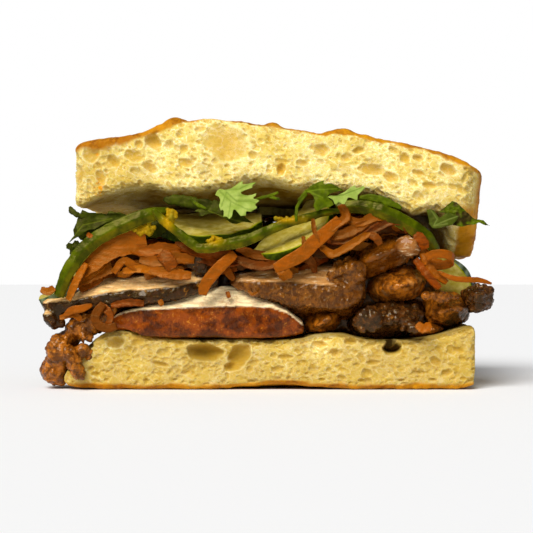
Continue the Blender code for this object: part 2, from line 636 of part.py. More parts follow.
def coriander():
    return [
        leaf("leaf_front", (-12, -45.8, 66.6), (-16, 0, -10), FRONT_LEAF),
        leaf("leaf_under", (-17, -43.2, 61.9), (-22, 0, 6), UNDER_LEAF),
        leaf("leaf_middle_dark", (16.4, -42.4, 69.2), (-14, 0, 6), BROAD_LEAF),
        leaf("leaf_middle", (25.2, -45.2, 69), (-10, 0, 0), PALE_LEAF),
        leaf("leaf_right", (59.3, -44, 60.3), (-10, 0, -6), LOBED_LEAF),
        leaf("leaf_right_tip", (66.8, -42.2, 62.1), (-14, 0, 0), CURLED_LEAF),
        leaf("leaf_left", (-62.9, -41.6, 59.6), (-14, 0, 0), LONG_LEAF),
        leaf("leaf_left_dark", (-53, -39, 59.6), (-24, 8, 0), LOBED_LEAF),
        leaf("leaf_left_small", (-69.5, -38.5, 50), (0, -70, 10), lobed(6.5)),
        leaf("leaf_back_left", (-30, 42.6, 62), (14, 20, 180), lobed(15)),
        leaf("leaf_back_right", (20, 42.8, 62.5), (14, -30, 180), lobed(16)),
        leaf("leaf_back_end", (52, 41.5, 56), (10, 70, 180), lobed(14)),
    ]


def main():
    clear_scene()
    built = [lower_bread()]
    for group in (chicken(), cucumbers(), peppers(), carrot_strips(), coriander(), [carrot_heap()],
                  [upper_bread()]):
        for thing in group:
            built.append(trim(thing, built[:]))


main()
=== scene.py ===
"""The looks of half a banh mi: open crumb and crust, grilled chicken, shreds, slices, strips and leaves."""

import math
import random

import bpy
import numpy as np
from mathutils import Euler, Matrix, Quaternion, Vector, kdtree, noise


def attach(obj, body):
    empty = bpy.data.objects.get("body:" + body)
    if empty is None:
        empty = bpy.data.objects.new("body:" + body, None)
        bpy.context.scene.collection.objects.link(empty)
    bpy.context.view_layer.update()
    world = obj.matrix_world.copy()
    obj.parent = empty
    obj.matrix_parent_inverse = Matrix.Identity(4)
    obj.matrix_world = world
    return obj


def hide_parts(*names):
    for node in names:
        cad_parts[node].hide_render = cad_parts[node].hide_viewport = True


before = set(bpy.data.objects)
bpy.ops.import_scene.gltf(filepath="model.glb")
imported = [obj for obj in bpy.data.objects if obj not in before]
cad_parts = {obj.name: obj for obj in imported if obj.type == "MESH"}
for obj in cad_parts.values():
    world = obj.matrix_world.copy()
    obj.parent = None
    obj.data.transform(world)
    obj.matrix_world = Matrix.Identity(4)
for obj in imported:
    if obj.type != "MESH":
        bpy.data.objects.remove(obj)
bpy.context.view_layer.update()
bpy.ops.object.select_all(action="DESELECT")

MM = 0.001
FRONT = -38.0           # the plane of the cut face, in millimetres
FLOOR = 0.05            # how far above the table the lowest crust stays, in millimetres

# the size of the mesh that each kind of piece is made with, in millimetres
BREAD_MESH = 0.92
MEAT_MESH = 0.55
GAP_SHADE_MESH = 1.1
CORE_MESH = 1.2
STRIP_MESH = 0.26
PEPPER_MESH = 0.3
PITH_MESH = 0.28
LEAF_MESH = 0.26

SHRED_FORMS = 7         # kinds of scattered carrot shred
SHREDS_SCATTERED = 260

ROOM_LIGHT = 0.22       # the white room's light on the food; what the camera sees of it is plain white
SUN_LIGHT = 3.8
SUN_SPREAD = 34         # degrees, for soft shadows
LENS = 99.5             # millimetres, on a sensor 36 wide
EYE = (-1.6, FRONT - 520, 43.4)

SPECULAR = 0.2          # moist food shines a little, and warmly
WARM_SHINE = (1.0, 0.7, 0.25, 1)
MOIST = 0.3             # the shine of roast meat and of carrot
COAT_ROUGH = 0.12


# -------- finishes

def tone(red, green, blue):
    """A colour given in 0 to 255 screen values, as the linear values that shaders take."""
    shares = [part / 255 for part in (red, green, blue)]
    return (*(part / 12.92 if part <= 0.04045 else ((part + 0.055) / 1.055) ** 2.4 for part in shares), 1)


class Value:
    """One socket of a material.  Python's operators on it add the Math nodes."""

    def __init__(self, finish, socket):
        self.finish = finish
        self.socket = socket

    def math(self, operation, *values, clamp=False):
        return self.finish.node("Math", {"operation": operation, "use_clamp": clamp}, dict(enumerate(values)))

    def __add__(self, other):
        return self.math("ADD", self, other)

    def __sub__(self, other):
        return self.math("SUBTRACT", self, other)

    def __rsub__(self, other):
        return self.math("SUBTRACT", other, self)

    def __mul__(self, other):
        return self.math("MULTIPLY", self, other)

    __radd__ = __add__

    def held(self):
        """Kept between 0 and 1."""
        return self.math("ADD", self, 0, clamp=True)

    def step(self, low, high):
        """0 below low, 1 above high, smooth between."""
        inputs = {"Value": self, "From Min": low, "From Max": high}
        return self.finish.node("MapRange", {"interpolation_type": "SMOOTHSTEP"}, inputs)


class Finish:
    """A material, built up from values and colours and closed by surface()."""

    def __init__(self, name):
        self.material = bpy.data.materials.new(name)
        self.material.use_nodes = True
        self.tree = self.material.node_tree
        self.shader = self.tree.nodes["Principled BSDF"]
        self.place = self.node("TexCoord", output="Object")

    def feed(self, socket, value):
        if isinstance(value, Value):
            self.tree.links.new(value.socket, socket)
        else:
            socket.default_value = value

    def node(self, kind, settings=None, inputs=None, output=0):
        made = self.tree.nodes.new("ShaderNode" + kind)
        for name, value in (settings or {}).items():
            setattr(made, name, value)
        for name, value in (inputs or {}).items():
            self.feed(made.inputs[name], value)
        return Value(self, made.outputs[output])

    def warped(self, size, reach):
        """The place, pushed about by up to reach millimetres in swirls of the given size."""
        swirl = self.node("TexNoise", {}, {"Vector": self.place, "Scale": 1 / (size * MM)}, output="Color")
        push = self.node("VectorMath", {"operation": "SUBTRACT"}, {0: swirl, 1: (0.5, 0.5, 0.5)})
        push = self.node("VectorMath", {"operation": "SCALE"}, {0: push, "Scale": 2 * reach * MM})
        return self.node("VectorMath", {"operation": "ADD"}, {0: self.place, 1: push})

    def noise(self, size, stretch=(1, 1, 1), detail=3, rough=0.55, at=None):
        """Smooth noise between 0 and 1 with lumps of the given size in millimetres."""
        place = self.node("Mapping", {"vector_type": "TEXTURE"},
                          {"Vector": at or self.place, "Scale": stretch})
        inputs = {"Vector": place, "Scale": 1 / (size * MM), "Detail": detail, "Roughness": rough}
        return self.node("TexNoise", {}, inputs)

    def webs(self, size, stretch, at):
        """How far a point is from the walls between leaning cells of the given size in millimetres."""
        inputs = {"Vector": at, "Scale": stretch, "Rotation": (0, math.radians(30), 0)}
        place = self.node("Mapping", {"vector_type": "TEXTURE"}, inputs)
        return self.node("TexVoronoi", {"feature": "DISTANCE_TO_EDGE"},
                         {"Vector": place, "Scale": 1 / (size * MM)})

    def painted(self, name):
        return self.node("Attribute", {"attribute_name": name}, output="Fac")

    def mix(self, one, other, share):
        """Blends two colours, each either a Value or three screen values."""
        mixer = self.tree.nodes.new("ShaderNodeMix")
        mixer.data_type = "RGBA"
        one, other = (colour if isinstance(colour, Value) else tone(*colour) for colour in (one, other))
        for socket, value in ((mixer.inputs[0], share), (mixer.inputs[6], one), (mixer.inputs[7], other)):
            self.feed(socket, value)
        return Value(self, mixer.outputs[2])

    def surface(self, colour, rough, height, lift, glow, shine=SPECULAR, coat=0.0):
        """Closes the material.

        height is in units of lift, the bump's depth in millimetres.  glow is the share of the light that
        spreads under the surface, and how far its red, green and blue go in millimetres.
        """
        bump = self.node("Bump", {}, {"Height": height, "Distance": lift * MM, "Strength": 1.0})
        share, *reach = glow
        values = {
            "Base Color": colour, "Roughness": rough, "Normal": bump,
            "Specular IOR Level": shine, "Specular Tint": WARM_SHINE,
            "Subsurface Weight": share, "Subsurface Radius": [part * MM for part in reach],
            "Subsurface Scale": 1.0,
        }
        if coat:
            values.update({"Coat Weight": coat, "Coat Roughness": COAT_ROUGH})
        for name, value in values.items():
            self.feed(self.shader.inputs[name], value)
        return self.material


def bread_finish():
    """Pale yellow crumb of soft webs and dimples with ochre hollows, and a golden crust with blisters; its
    dips and hollows carry painted shade, its crests and hole rims painted highlight.
    """
    finish = Finish("crumb and crust")
    crust = finish.painted("crust")
    pit = finish.painted("pit")
    swirled = finish.warped(2.0, 1.2)
    cloud = finish.noise(9, detail=4)
    dimple = finish.noise(1.5, stretch=(1.5, 1, 0.8), detail=5, rough=0.62, at=swirled)
    fine = finish.noise(0.5, stretch=(1.6, 1, 0.8), detail=3, at=swirled)
    web = finish.webs(2.6, (1.5, 1.2, 0.8), swirled)
    small = finish.webs(1.1, (1.4, 1.1, 0.8), swirled)
    # Painted shade and highlight that follow the bump: the crumb is darker in the dimples' dips and paler on
    # their crests, where the pale walls of the webs also show.
    crumb = finish.mix((214, 180, 74), (240, 220, 132), (cloud.step(0.3, 0.7) * 0.5 + dimple * 0.6).held())
    crumb = finish.mix(crumb, (196, 158, 48), dimple.step(0.44, 0.32) * 0.7)
    crumb = finish.mix(crumb, (254, 246, 200), (web.step(0.09, 0.0) * dimple.step(0.42, 0.6) * 0.7).held())
    crumb = finish.mix(crumb, (254, 247, 206), (small.step(0.12, 0.0) * cloud.step(0.4, 0.6) * 0.55).held())
    crumb = finish.mix(crumb, (252, 242, 196), fine.step(0.58, 0.72) * 0.4)
    # Painted shade inside the holes, darker the deeper a hole is.
    crumb = finish.mix(crumb, (200, 152, 36), pit.step(0.05, 0.85) * 0.8)
    # Painted highlight along the rims of the holes.
    crumb = finish.mix(crumb, (248, 238, 184), finish.painted("rim") * 0.45)
    crumb = finish.mix(crumb, (172, 134, 40), finish.painted("soaked") * (0.3 + cloud * 0.6).held())
    crumb = finish.mix(crumb, (110, 80, 4), finish.painted("shade"))
    # Painted shade: almost black in the deepest hole of the lower bread.
    crumb = finish.mix(crumb, (26, 12, 2), finish.painted("drip"))
    crumb = finish.mix(crumb, (228, 150, 8), finish.painted("stain"))
    browned = finish.noise(3.2, detail=6, rough=0.65)
    baked = finish.noise(16, detail=5, rough=0.6)
    skin = finish.mix((206, 142, 16), (156, 90, 4), (baked.step(0.35, 0.65) * 0.7 + browned * 0.3).held())
    darker = (browned.step(0.48, 0.66) * (baked.step(0.4, 0.7) + 0.5)).held()
    skin = finish.mix(skin, (118, 62, 2), darker * 0.7)
    skin = finish.mix(skin, (104, 50, 2), finish.painted("blister"))
    colour = finish.mix(crumb, skin, crust)
    height = (dimple * 0.8 + fine * 0.25 + web.step(0.14, 0) * 0.2) * (1 - crust * 0.75)
    height = height + browned * crust * 0.6
    rough = 0.95 - crust * 0.4
    return finish.surface(colour, rough, height, lift=0.22, glow=(0.4, 3, 2, 1))


def meat_finish(name, light, dark, pale, gloss=0.3, blotch=4.0):
    """Roast chicken: light and dark are the browned skin, pale is the cut or torn meat inside."""
    finish = Finish(name)
    cut = finish.painted("pale")
    char = finish.painted("char")
    swirled = finish.warped(3, 1.2)
    blotches = finish.noise(blotch, detail=6, rough=0.7, at=swirled)
    mottle = finish.noise(1.4, detail=5, rough=0.7, at=swirled)
    grain = finish.noise(0.7, stretch=(6, 3, 1), detail=5, rough=0.6)
    fibre = finish.noise(0.5, stretch=(1, 2, 5), detail=3, at=swirled)
    skin = finish.mix(light, dark, (blotches.step(0.38, 0.58) * 0.85 + mottle.step(0.5, 0.7) * 0.4).held())
    # Golden flecks on the skin, partly its own colour and partly painted glints of highlight.
    skin = finish.mix(skin, (222, 146, 44), mottle.step(0.44, 0.3) * blotches.step(0.6, 0.35) * 0.6)
    streaks = finish.noise(1.5, stretch=(0.7, 2, 3.5), detail=6, rough=0.65, at=swirled)
    skin = finish.mix(skin, pale, streaks.step(0.56, 0.76) * finish.painted("streaked"))
    skin = finish.mix(skin, (40, 12, 2), mottle.step(0.62, 0.76) * 0.5)
    inside = finish.mix(pale, finish.mix(pale, light, 0.35), grain.step(0.44, 0.62))
    # Whitish streaks in the cut meat, partly its pale fibre and partly painted highlight.
    inside = finish.mix(inside, (250, 228, 184), grain.step(0.46, 0.36) * 0.6)
    inside = finish.mix(inside, (170, 104, 34), blotches.step(0.5, 0.64) * mottle.step(0.4, 0.6) * 0.5)
    colour = finish.mix(skin, inside, cut)
    colour = finish.mix(colour, (22, 9, 3), (char * (0.35 + blotches)).held())
    height = blotches * 0.5 + mottle * 0.5 + (grain * 0.5 + fibre * 0.3) * cut + fibre * 0.3
    rough = gloss * 0.6 + cut * 0.35 + mottle * 0.2
    return finish.surface(colour, rough, height, lift=0.42, glow=(0.05, 3, 1.2, 0.4), shine=MOIST, coat=0.24)


def carrot_finish():
    """Pickled carrot: moist, see-through orange with darker streaks, and some pieces paler."""
    finish = Finish("moist carrot")
    streak = finish.noise(1.2, stretch=(3, 3, 1), detail=4)
    patch = finish.noise(4, detail=3)
    colour = finish.mix((142, 58, 0), (72, 22, 0), (streak.step(0.35, 0.7) * 0.6 + patch * 0.5).held())
    colour = finish.mix(colour, (206, 118, 4), finish.painted("tint") * 0.55)
    # deep paints a dark red-brown: on the core it is painted shade between the shreds, on single shreds it
    # darkens some of them.
    colour = finish.mix(colour, (46, 12, 0), finish.painted("deep"))
    height = streak * 0.6 + finish.noise(0.5) * 0.35
    return finish.surface(colour, 0.24 + streak * 0.25, height, lift=0.45, glow=(0.05, 2, 0.8, 0.3),
                          shine=MOIST)


def cucumber_finish():
    """Wet pale flesh, a thin light line and a dark green rind round it."""
    finish = Finish("cucumber flesh and rind")
    radius = finish.painted("radius")
    ripple = finish.noise(2.5, detail=4)
    flesh = finish.mix((166, 146, 46), (198, 182, 96), ripple.step(0.35, 0.7))
    flesh = finish.mix(flesh, (150, 128, 30), radius.step(0.6, 0.25) * 0.6)
    flesh = finish.mix(flesh, (186, 110, 14), finish.noise(1.2, detail=2).step(0.68, 0.74) * 0.7)
    edge = finish.mix(flesh, (150, 152, 16), radius.step(0.92, 0.96))
    streaks = finish.noise(1.6, stretch=(1, 3, 1), detail=4)
    rind = finish.mix((32, 52, 0), (74, 92, 0), streaks.step(0.42, 0.75))
    rind = finish.mix(rind, (150, 164, 140), finish.painted("bloom"))
    colour = finish.mix(edge, rind, radius.step(0.965, 0.98))
    return finish.surface(colour, 0.34 + ripple * 0.2, ripple + streaks * 0.4, lift=0.25,
                          glow=(0.08, 4, 4, 1.5))


def pepper_finish():
    """Green pepper: glossy skin, a thin pale line along its edges, and a darker inner side."""
    finish = Finish("green pepper")
    patch = finish.noise(5, detail=4)
    stripe = finish.noise(0.9, stretch=(4, 4, 1), detail=3)
    skin = finish.mix((48, 58, 0), (82, 92, 0), patch.step(0.35, 0.7))
    skin = finish.mix(skin, (150, 152, 20), stripe.step(0.62, 0.76) * 0.35)
    inner = finish.mix((46, 48, 0), (100, 86, 0), patch.step(0.35, 0.65))
    colour = finish.mix(skin, inner, finish.painted("inner"))
    colour = finish.mix(colour, (156, 160, 40), finish.painted("flesh") * 0.7)
    colour = finish.mix(colour, (190, 140, 4), finish.painted("pith") * 0.8)
    height = patch * 0.6 + stripe * 0.3 + finish.noise(0.8) * (0.3 + finish.painted("pith") * 0.6)
    return finish.surface(colour, 0.3 + finish.painted("inner") * 0.2, height, lift=0.22,
                          glow=(0.05, 2, 3, 0.4))


def leaf_finish(name, light, dark, veined):
    """A thin leaf with fine veins, and wilted painted where it has dried brown."""
    finish = Finish(name + " coriander")
    patch = finish.noise(3, detail=5)
    colour = finish.mix(dark, light, patch.step(0.3, 0.7))
    colour = finish.mix(colour, veined, finish.painted("vein") * 0.7)
    colour = finish.mix(colour, (40, 26, 8), finish.painted("wilted"))
    height = patch * 0.6 + finish.noise(0.6) * 0.4 - finish.painted("vein") * 0.5
    return finish.surface(colour, 0.5, height, lift=0.25, glow=(0.05, 1, 2, 0.4))


# -------- modelling helpers

def alone(piece):
    bpy.ops.object.select_all(action="DESELECT")
    piece.select_set(True)
    bpy.context.view_layer.objects.active = piece
    return piece


def copy_of(node, name):
    """A merged copy of a CAD node, selected alone."""
    piece = bpy.data.objects.new(name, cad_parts[node].data.copy())
    bpy.context.scene.collection.objects.link(piece)
    piece.data.materials.clear()
    alone(piece)
    bpy.ops.object.mode_set(mode="EDIT")
    bpy.ops.mesh.select_all(action="SELECT")
    bpy.ops.mesh.remove_doubles(threshold=0.000002)
    bpy.ops.object.mode_set(mode="OBJECT")
    return piece


def work(piece, kind, **settings):
    """Adds a modifier to a piece and applies it."""
    step = alone(piece).modifiers.new(kind.lower(), kind)
    for name, value in settings.items():
        setattr(step, name, value)
    bpy.ops.object.modifier_apply(modifier=step.name)
    return piece


def even(piece, voxel, soften=0):
    """Meshes a piece anew with even faces of a size in millimetres, and softens it in so many rounds."""
    work(piece, "REMESH", mode="VOXEL", voxel_size=voxel * MM)
    if soften:
        work(piece, "SMOOTH", factor=0.5, iterations=soften)


def add_nubs(nubs):
    """Adds little balls, each a centre and a radius in millimetres, to the piece that is selected."""
    bpy.ops.object.mode_set(mode="EDIT")
    for centre, size in nubs:
        bpy.ops.mesh.primitive_ico_sphere_add(subdivisions=2, radius=size * MM, location=Vector(centre) * MM)
    bpy.ops.object.mode_set(mode="OBJECT")


def sculpting_copy(node, name, voxel, soften, nubs=()):
    """A finely and evenly meshed copy of a CAD node, its edges softened and its nubs fused on."""
    piece = copy_of(node, name)
    if nubs:
        add_nubs(nubs)
    even(piece, voxel * 1.6, soften)
    even(piece, voxel, 2)
    return piece


def finer(piece, chosen, cuts):
    """Divides the faces that chosen picks by their centres in millimetres and their normals."""
    faces = piece.data.polygons
    centres, normals = (np.empty(len(faces) * 3) for _ in range(2))
    faces.foreach_get("center", centres)
    faces.foreach_get("normal", normals)
    piece.data.vertices.foreach_set("select", np.zeros(len(piece.data.vertices), bool))
    piece.data.edges.foreach_set("select", np.zeros(len(piece.data.edges), bool))
    faces.foreach_set("select", chosen(centres.reshape(-1, 3) / MM, normals.reshape(-1, 3)))
    alone(piece)
    bpy.ops.object.mode_set(mode="EDIT")
    bpy.ops.mesh.select_mode(type="FACE")
    bpy.ops.mesh.subdivide(number_cuts=cuts)
    bpy.ops.object.mode_set(mode="OBJECT")
    return piece


def read(piece, what="co"):
    """All points of a piece, in millimetres, or their normals."""
    values = np.empty(len(piece.data.vertices) * 3)
    piece.data.vertices.foreach_get(what, values)
    return values.reshape(-1, 3) / (MM if what == "co" else 1)


def surface_of(piece):
    """All points of a piece and their normals."""
    return read(piece), read(piece, "normal")


def write(piece, places):
    piece.data.vertices.foreach_set("co", (places * MM).ravel())
    piece.data.update()


def push(piece, places, normals, out):
    """Moves each point out along its normal by its own number of millimetres."""
    write(piece, places + normals * out[:, None])


def paint(piece, **layers):
    """Gives each point of a piece numbers that its material reads.  One number alone goes to all points."""
    for name, values in layers.items():
        layer = piece.data.attributes.get(name) or piece.data.attributes.new(name, "FLOAT", "POINT")
        numbers = np.zeros(len(piece.data.vertices)) + np.clip(values, 0, 1)
        layer.data.foreach_set("value", numbers.astype(np.float32))


def waves(places, size, seed, octaves=3):
    """Smooth noise, about -1 to 1, with lumps of the given size."""
    shift = np.array((seed * 3.7, seed * -5.1, seed * 1.3))
    return np.array([noise.fractal(point, 1.0, 2.0, octaves) for point in (places / size + shift).tolist()])


def knobs(places, size, seed):
    """Rounded lumps with creases between them: 1 on a lump's middle, 0 in the creases."""
    shift = np.array((seed * 2.3, seed * 4.1, seed * -3.3))
    near = [noise.voronoi(point)[0] for point in (places / size + shift).tolist()]
    return np.clip(np.array([gaps[1] - gaps[0] for gaps in near]) * 1.6, 0, 1) ** 0.6


def ramp(values, low, high):
    """0 below low, 1 above high, smooth between, for arrays."""
    share = np.clip((values - low) / (high - low), 0, 1)
    return share * share * (3 - 2 * share)


def profile(*points):
    xs, zs = zip(*points)
    return lambda x: np.interp(x, xs, zs)


def finish_piece(piece, name, material, slot, *nodes, sharp=None):
    """Names a piece, gives it its material, shades it smooth, with edges over sharp degrees left crisp, hangs
    it on the root body and hides the CAD nodes it replaces.
    """
    piece.name = name
    piece.data.materials.clear()
    piece.data.materials.append(material)
    piece.data.shade_smooth()
    if sharp:
        alone(piece)
        bpy.ops.object.shade_smooth_by_angle(angle=math.radians(sharp))
    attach(piece, "root")
    if nodes:
        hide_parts(*nodes)
    return piece


def joined(pieces):
    """Joins pieces into the first of them."""
    alone(pieces[0])
    for piece in pieces:
        piece.select_set(True)
    bpy.ops.object.join()
    return pieces[0]


def smooth_path(points, steps):
    """Points at even shares along a smooth curve through the given points."""
    knots = [Vector(point) for point in points]
    knots = [2 * knots[0] - knots[1], *knots, 2 * knots[-1] - knots[-2]]
    spans = len(knots) - 3
    path = []
    for step in range(steps + 1):
        place = min(step / steps * spans, spans - 1e-6)
        i = int(place)
        t = place - i
        a, b, c, d = knots[i:i + 4]
        path.append(0.5 * (2 * b + (c - a) * t + (2 * a - 5 * b + 4 * c - d) * t * t
                           + (3 * b - a - 3 * c + d) * t ** 3))
    return path


# -------- bread

def carve(places, normals, where, rng, counts, hollows, lean):
    """The crumb's bubbles: how deep each point sinks, how far it is inside a hole, and how near a rim.

    where is the share by which a point lies on crumb, counts gives (how many, smallest, largest radius),
    and each
    hollow is (x, z, half width, half height, depth, lean) on the cut face.
    """
    tree = kdtree.KDTree(len(places))
    for i, point in enumerate(places):
        tree.insert(point, i)
    tree.balance()
    sunk, pit, rim = (np.zeros(len(places)) for _ in range(3))
    crumb = np.flatnonzero(where > 0.6)

    def bubble(centre, out, wide, high, deep, angle, dark):
        level = Vector((0, 0, 1)) if abs(out.z) < 0.7 else Vector((0, 1, 0))
        across = level.cross(out).normalized()
        up = out.cross(across)
        one = across * math.cos(angle) + up * math.sin(angle)
        two = up * math.cos(angle) - across * math.sin(angle)
        found = [hit[1] for hit in tree.find_range(centre, max(wide, high) * 1.35)]
        if not found:
            return
        offset = places[found] - np.array(centre)
        u, v = offset @ np.array(one) / wide, offset @ np.array(two) / high
        round_it = np.arctan2(v, u)
        start = rng.random() * 6
        uneven = 1 + 0.09 * np.sin(2 * round_it + start) + 0.05 * np.sin(5 * round_it + start)
        reach = np.hypot(u, v) * uneven
        inside = np.clip(1 - reach ** 2, 0, 1)
        sunk[found] = np.maximum(sunk[found], deep * inside ** 0.6)
        pit[found] = np.maximum(pit[found], dark * inside ** 0.35)
        rim[found] = np.maximum(rim[found], min(1, high) * np.exp(-((reach - 1.1) / 0.09) ** 2))

    for many, least, most in counts:
        for i in rng.choices(crumb.tolist(), k=many):
            size = least * (most / least) ** rng.random()
            wide = size * rng.uniform(1.1, 2.0)
            angle = lean + rng.gauss(0, 0.4)
            bubble(Vector(places[i]), Vector(normals[i]), wide, size, size * rng.uniform(0.5, 1.0), angle,
                   rng.uniform(0.2, 0.6))
    for x, z, wide, high, deep, angle in hollows:
        bubble(Vector((x, FRONT, z)), Vector((0, -1, 0)), wide, high, deep, math.radians(angle),
               min(1, 0.4 + 0.2 * deep))
    return sunk, pit, rim * (1 - np.clip(pit * 3, 0, 1))


def crumb_relief(piece, crust, counts, hollows, seed, lean=-0.5):
    """Bubbles and torn unevenness where a loaf is cut, and a wrinkled skin where it has crust."""
    places, normals = surface_of(piece)
    crust_share = crust(places, normals)
    bare = np.clip(1 - crust_share * 1.4, 0, 1)
    sunk, pit, rim = carve(places, normals, 1 - crust_share, random.Random(seed), counts, hollows, lean)
    lumps = waves(places, 5, seed) * 0.4 + waves(places, 1.3, seed + 1, 3) * 0.1
    wrinkle = waves(places, 9, seed + 2) * 0.5 + waves(places, 1.8, seed + 3) * 0.22
    out = lumps * (1 - crust_share) + wrinkle * crust_share - sunk * bare + rim * 0.12 * bare
    places = places + normals * out[:, None]
    places[:, 2] = np.maximum(places[:, 2], FLOOR)
    write(piece, places)
    # pit is painted as shade inside the holes, and rim as highlight round their edges.
    paint(piece, crust=crust_share, pit=pit * bare, rim=rim * bare)
    return places, normals


def near_spot(places, x, z, wide, high):
    """1 at a spot of the cut face, falling to 0 round it."""
    gap = ((places[:, 0] - x) / wide) ** 2 + ((places[:, 2] - z) / high) ** 2
    return np.exp(-gap) * (places[:, 1] < FRONT + 8)


def loaf(node, name):
    """A copy of a bread node with a finer mesh on its ends and the finest on its cut face."""
    piece = sculpting_copy(node, name, BREAD_MESH, 3)
    finer(piece, lambda centres, normals: np.abs(normals[:, 0]) > 0.6, 1)
    return finer(piece, lambda centres, normals: (centres[:, 1] < -34) & (normals[:, 1] < -0.45), 2)


# the lid's crown along the cut face, how thick its crust is, and the crust's blisters
# as (x, y, radius, height)
CROWN = profile(
    (-69, 86), (-65, 88.4), (-51, 89.6), (-44, 91.4), (-37, 94.8), (-31, 94.6), (-23, 96.3), (-15, 95.6),
    (-5, 93.8), (8, 92), (18, 90.2), (29, 91.4), (35, 89.2), (45, 87.2), (56, 85.4), (65, 82.6), (70, 80),
    (76, 78),
)
THICK = profile(
    (-70, 2.4), (-62, 4.2), (-52, 3.2), (-42, 2.6), (-34, 1.5), (-29, 0.2), (16, 0.1), (20, 0.9), (33, 1.6),
    (38, 1.0), (60, 1.7), (78, 2.6),
)
BLISTERS = [
    (-34, -34, 4.6, 1.6), (1, -33, 3.6, 1.3), (24, -34, 6.5, 1.7), (-52, -8, 9, 2), (12, 4, 11, 2.2),
    (44, -6, 8, 2), (-22, 14, 10, 2), (58, 18, 9, 1.8), (-58, 22, 7, 1.6), (28, 26, 9, 1.8),
]

# the larger holes of each cut face: x, z, half width, half height, depth and lean in degrees
UPPER_HOLLOWS = [
    (-63.4, 83.4, 3.4, 3.0, 1.2, -60), (-55.8, 80.6, 2.7, 1.7, 1.7, -50), (-48.4, 82.4, 3.3, 2.3, 1.3, -15),
    (-42.7, 78.5, 3.2, 1.6, 1.4, -40), (-41.7, 87.7, 3.6, 2.3, 2.4, -48), (-46.6, 86.6, 1.8, 1.3, 1.2, -40),
    (3.6, 77.8, 2.4, 1.7, 2.2, 70), (17.7, 84.5, 2.7, 2.5, 1.5, 0), (35.7, 77.7, 5.4, 2.0, 1.4, -5),
    (42.1, 75.0, 3.0, 1.7, 1.5, -20), (26.5, 81.9, 2.3, 1.6, 1.2, 0), (47.2, 81.7, 2.2, 1.7, 1.6, -20),
    (51.9, 81.7, 1.9, 1.4, 1.5, -20), (62.5, 77.7, 2.9, 2.1, 1.7, -30), (-16, 87, 8.5, 6.2, 1.0, -10),
    (-60, 75, 2.6, 1.8, 1.0, -60), (-30, 80, 3.0, 1.5, 1.2, -20), (56, 72, 2.6, 1.4, 1.2, -10),
    (11, 80, 2.2, 1.3, 1.2, 0), (-67.5, 76, 1.3, 3.2, 1.0, 0), (-25, 92, 2.4, 1.1, 1.0, 10),
    (52, 76.5, 2.2, 1.2, 1.2, -20), (31, 84.5, 2.4, 1.2, 1.2, 10),
]
LOWER_HOLLOWS = [
    (-23.4, 13.2, 6.6, 3.2, 5.0, -12), (-11, 12.4, 4.6, 3.6, 3.6, 30), (-13, 8.4, 3.6, 2.0, 2.4, 10),
    (-55, 16.6, 3.0, 2.2, 1.4, 0), (-47, 17, 2.6, 1.5, 1.4, 0), (42.8, 14.6, 3.8, 2.4, 5.0, 0),
    (42.2, 18, 1.5, 2.4, 3.2, 90), (-39, 9, 3.4, 0.9, 1.2, -8), (17, 16, 2.6, 1.5, 1.6, 0),
    (22.4, 13, 2.0, 1.4, 1.6, 0), (28, 17, 2.2, 1.4, 1.5, 0), (-62, 5.5, 1.6, 1.0, 1.2, 0),
    (5, 11.5, 2.6, 1.1, 1.3, 0), (36, 9.5, 2.6, 1.0, 1.1, 0), (58, 10, 2.4, 1.4, 1.3, -30),
    (66, 14, 2.4, 1.3, 1.3, -20), (52, 6, 2.6, 0.9, 1.1, 0), (62, 6, 2.2, 1.2, 1.2, 20),
    (-30, 6, 2.6, 0.8, 1.0, 10), (-58, 3.4, 1.2, 0.7, 1.0, 0), (-44, 3.2, 1.4, 0.7, 1.0, 0),
    (-34, 3.4, 1.2, 0.6, 0.9, 0), (18, 3.4, 1.4, 0.7, 1.0, 0), (32, 3.2, 1.5, 0.7, 1.0, 0),
    (46, 3.2, 1.2, 0.6, 0.9, 0), (57, 3.4, 1.5, 0.7, 1.0, 0),
]


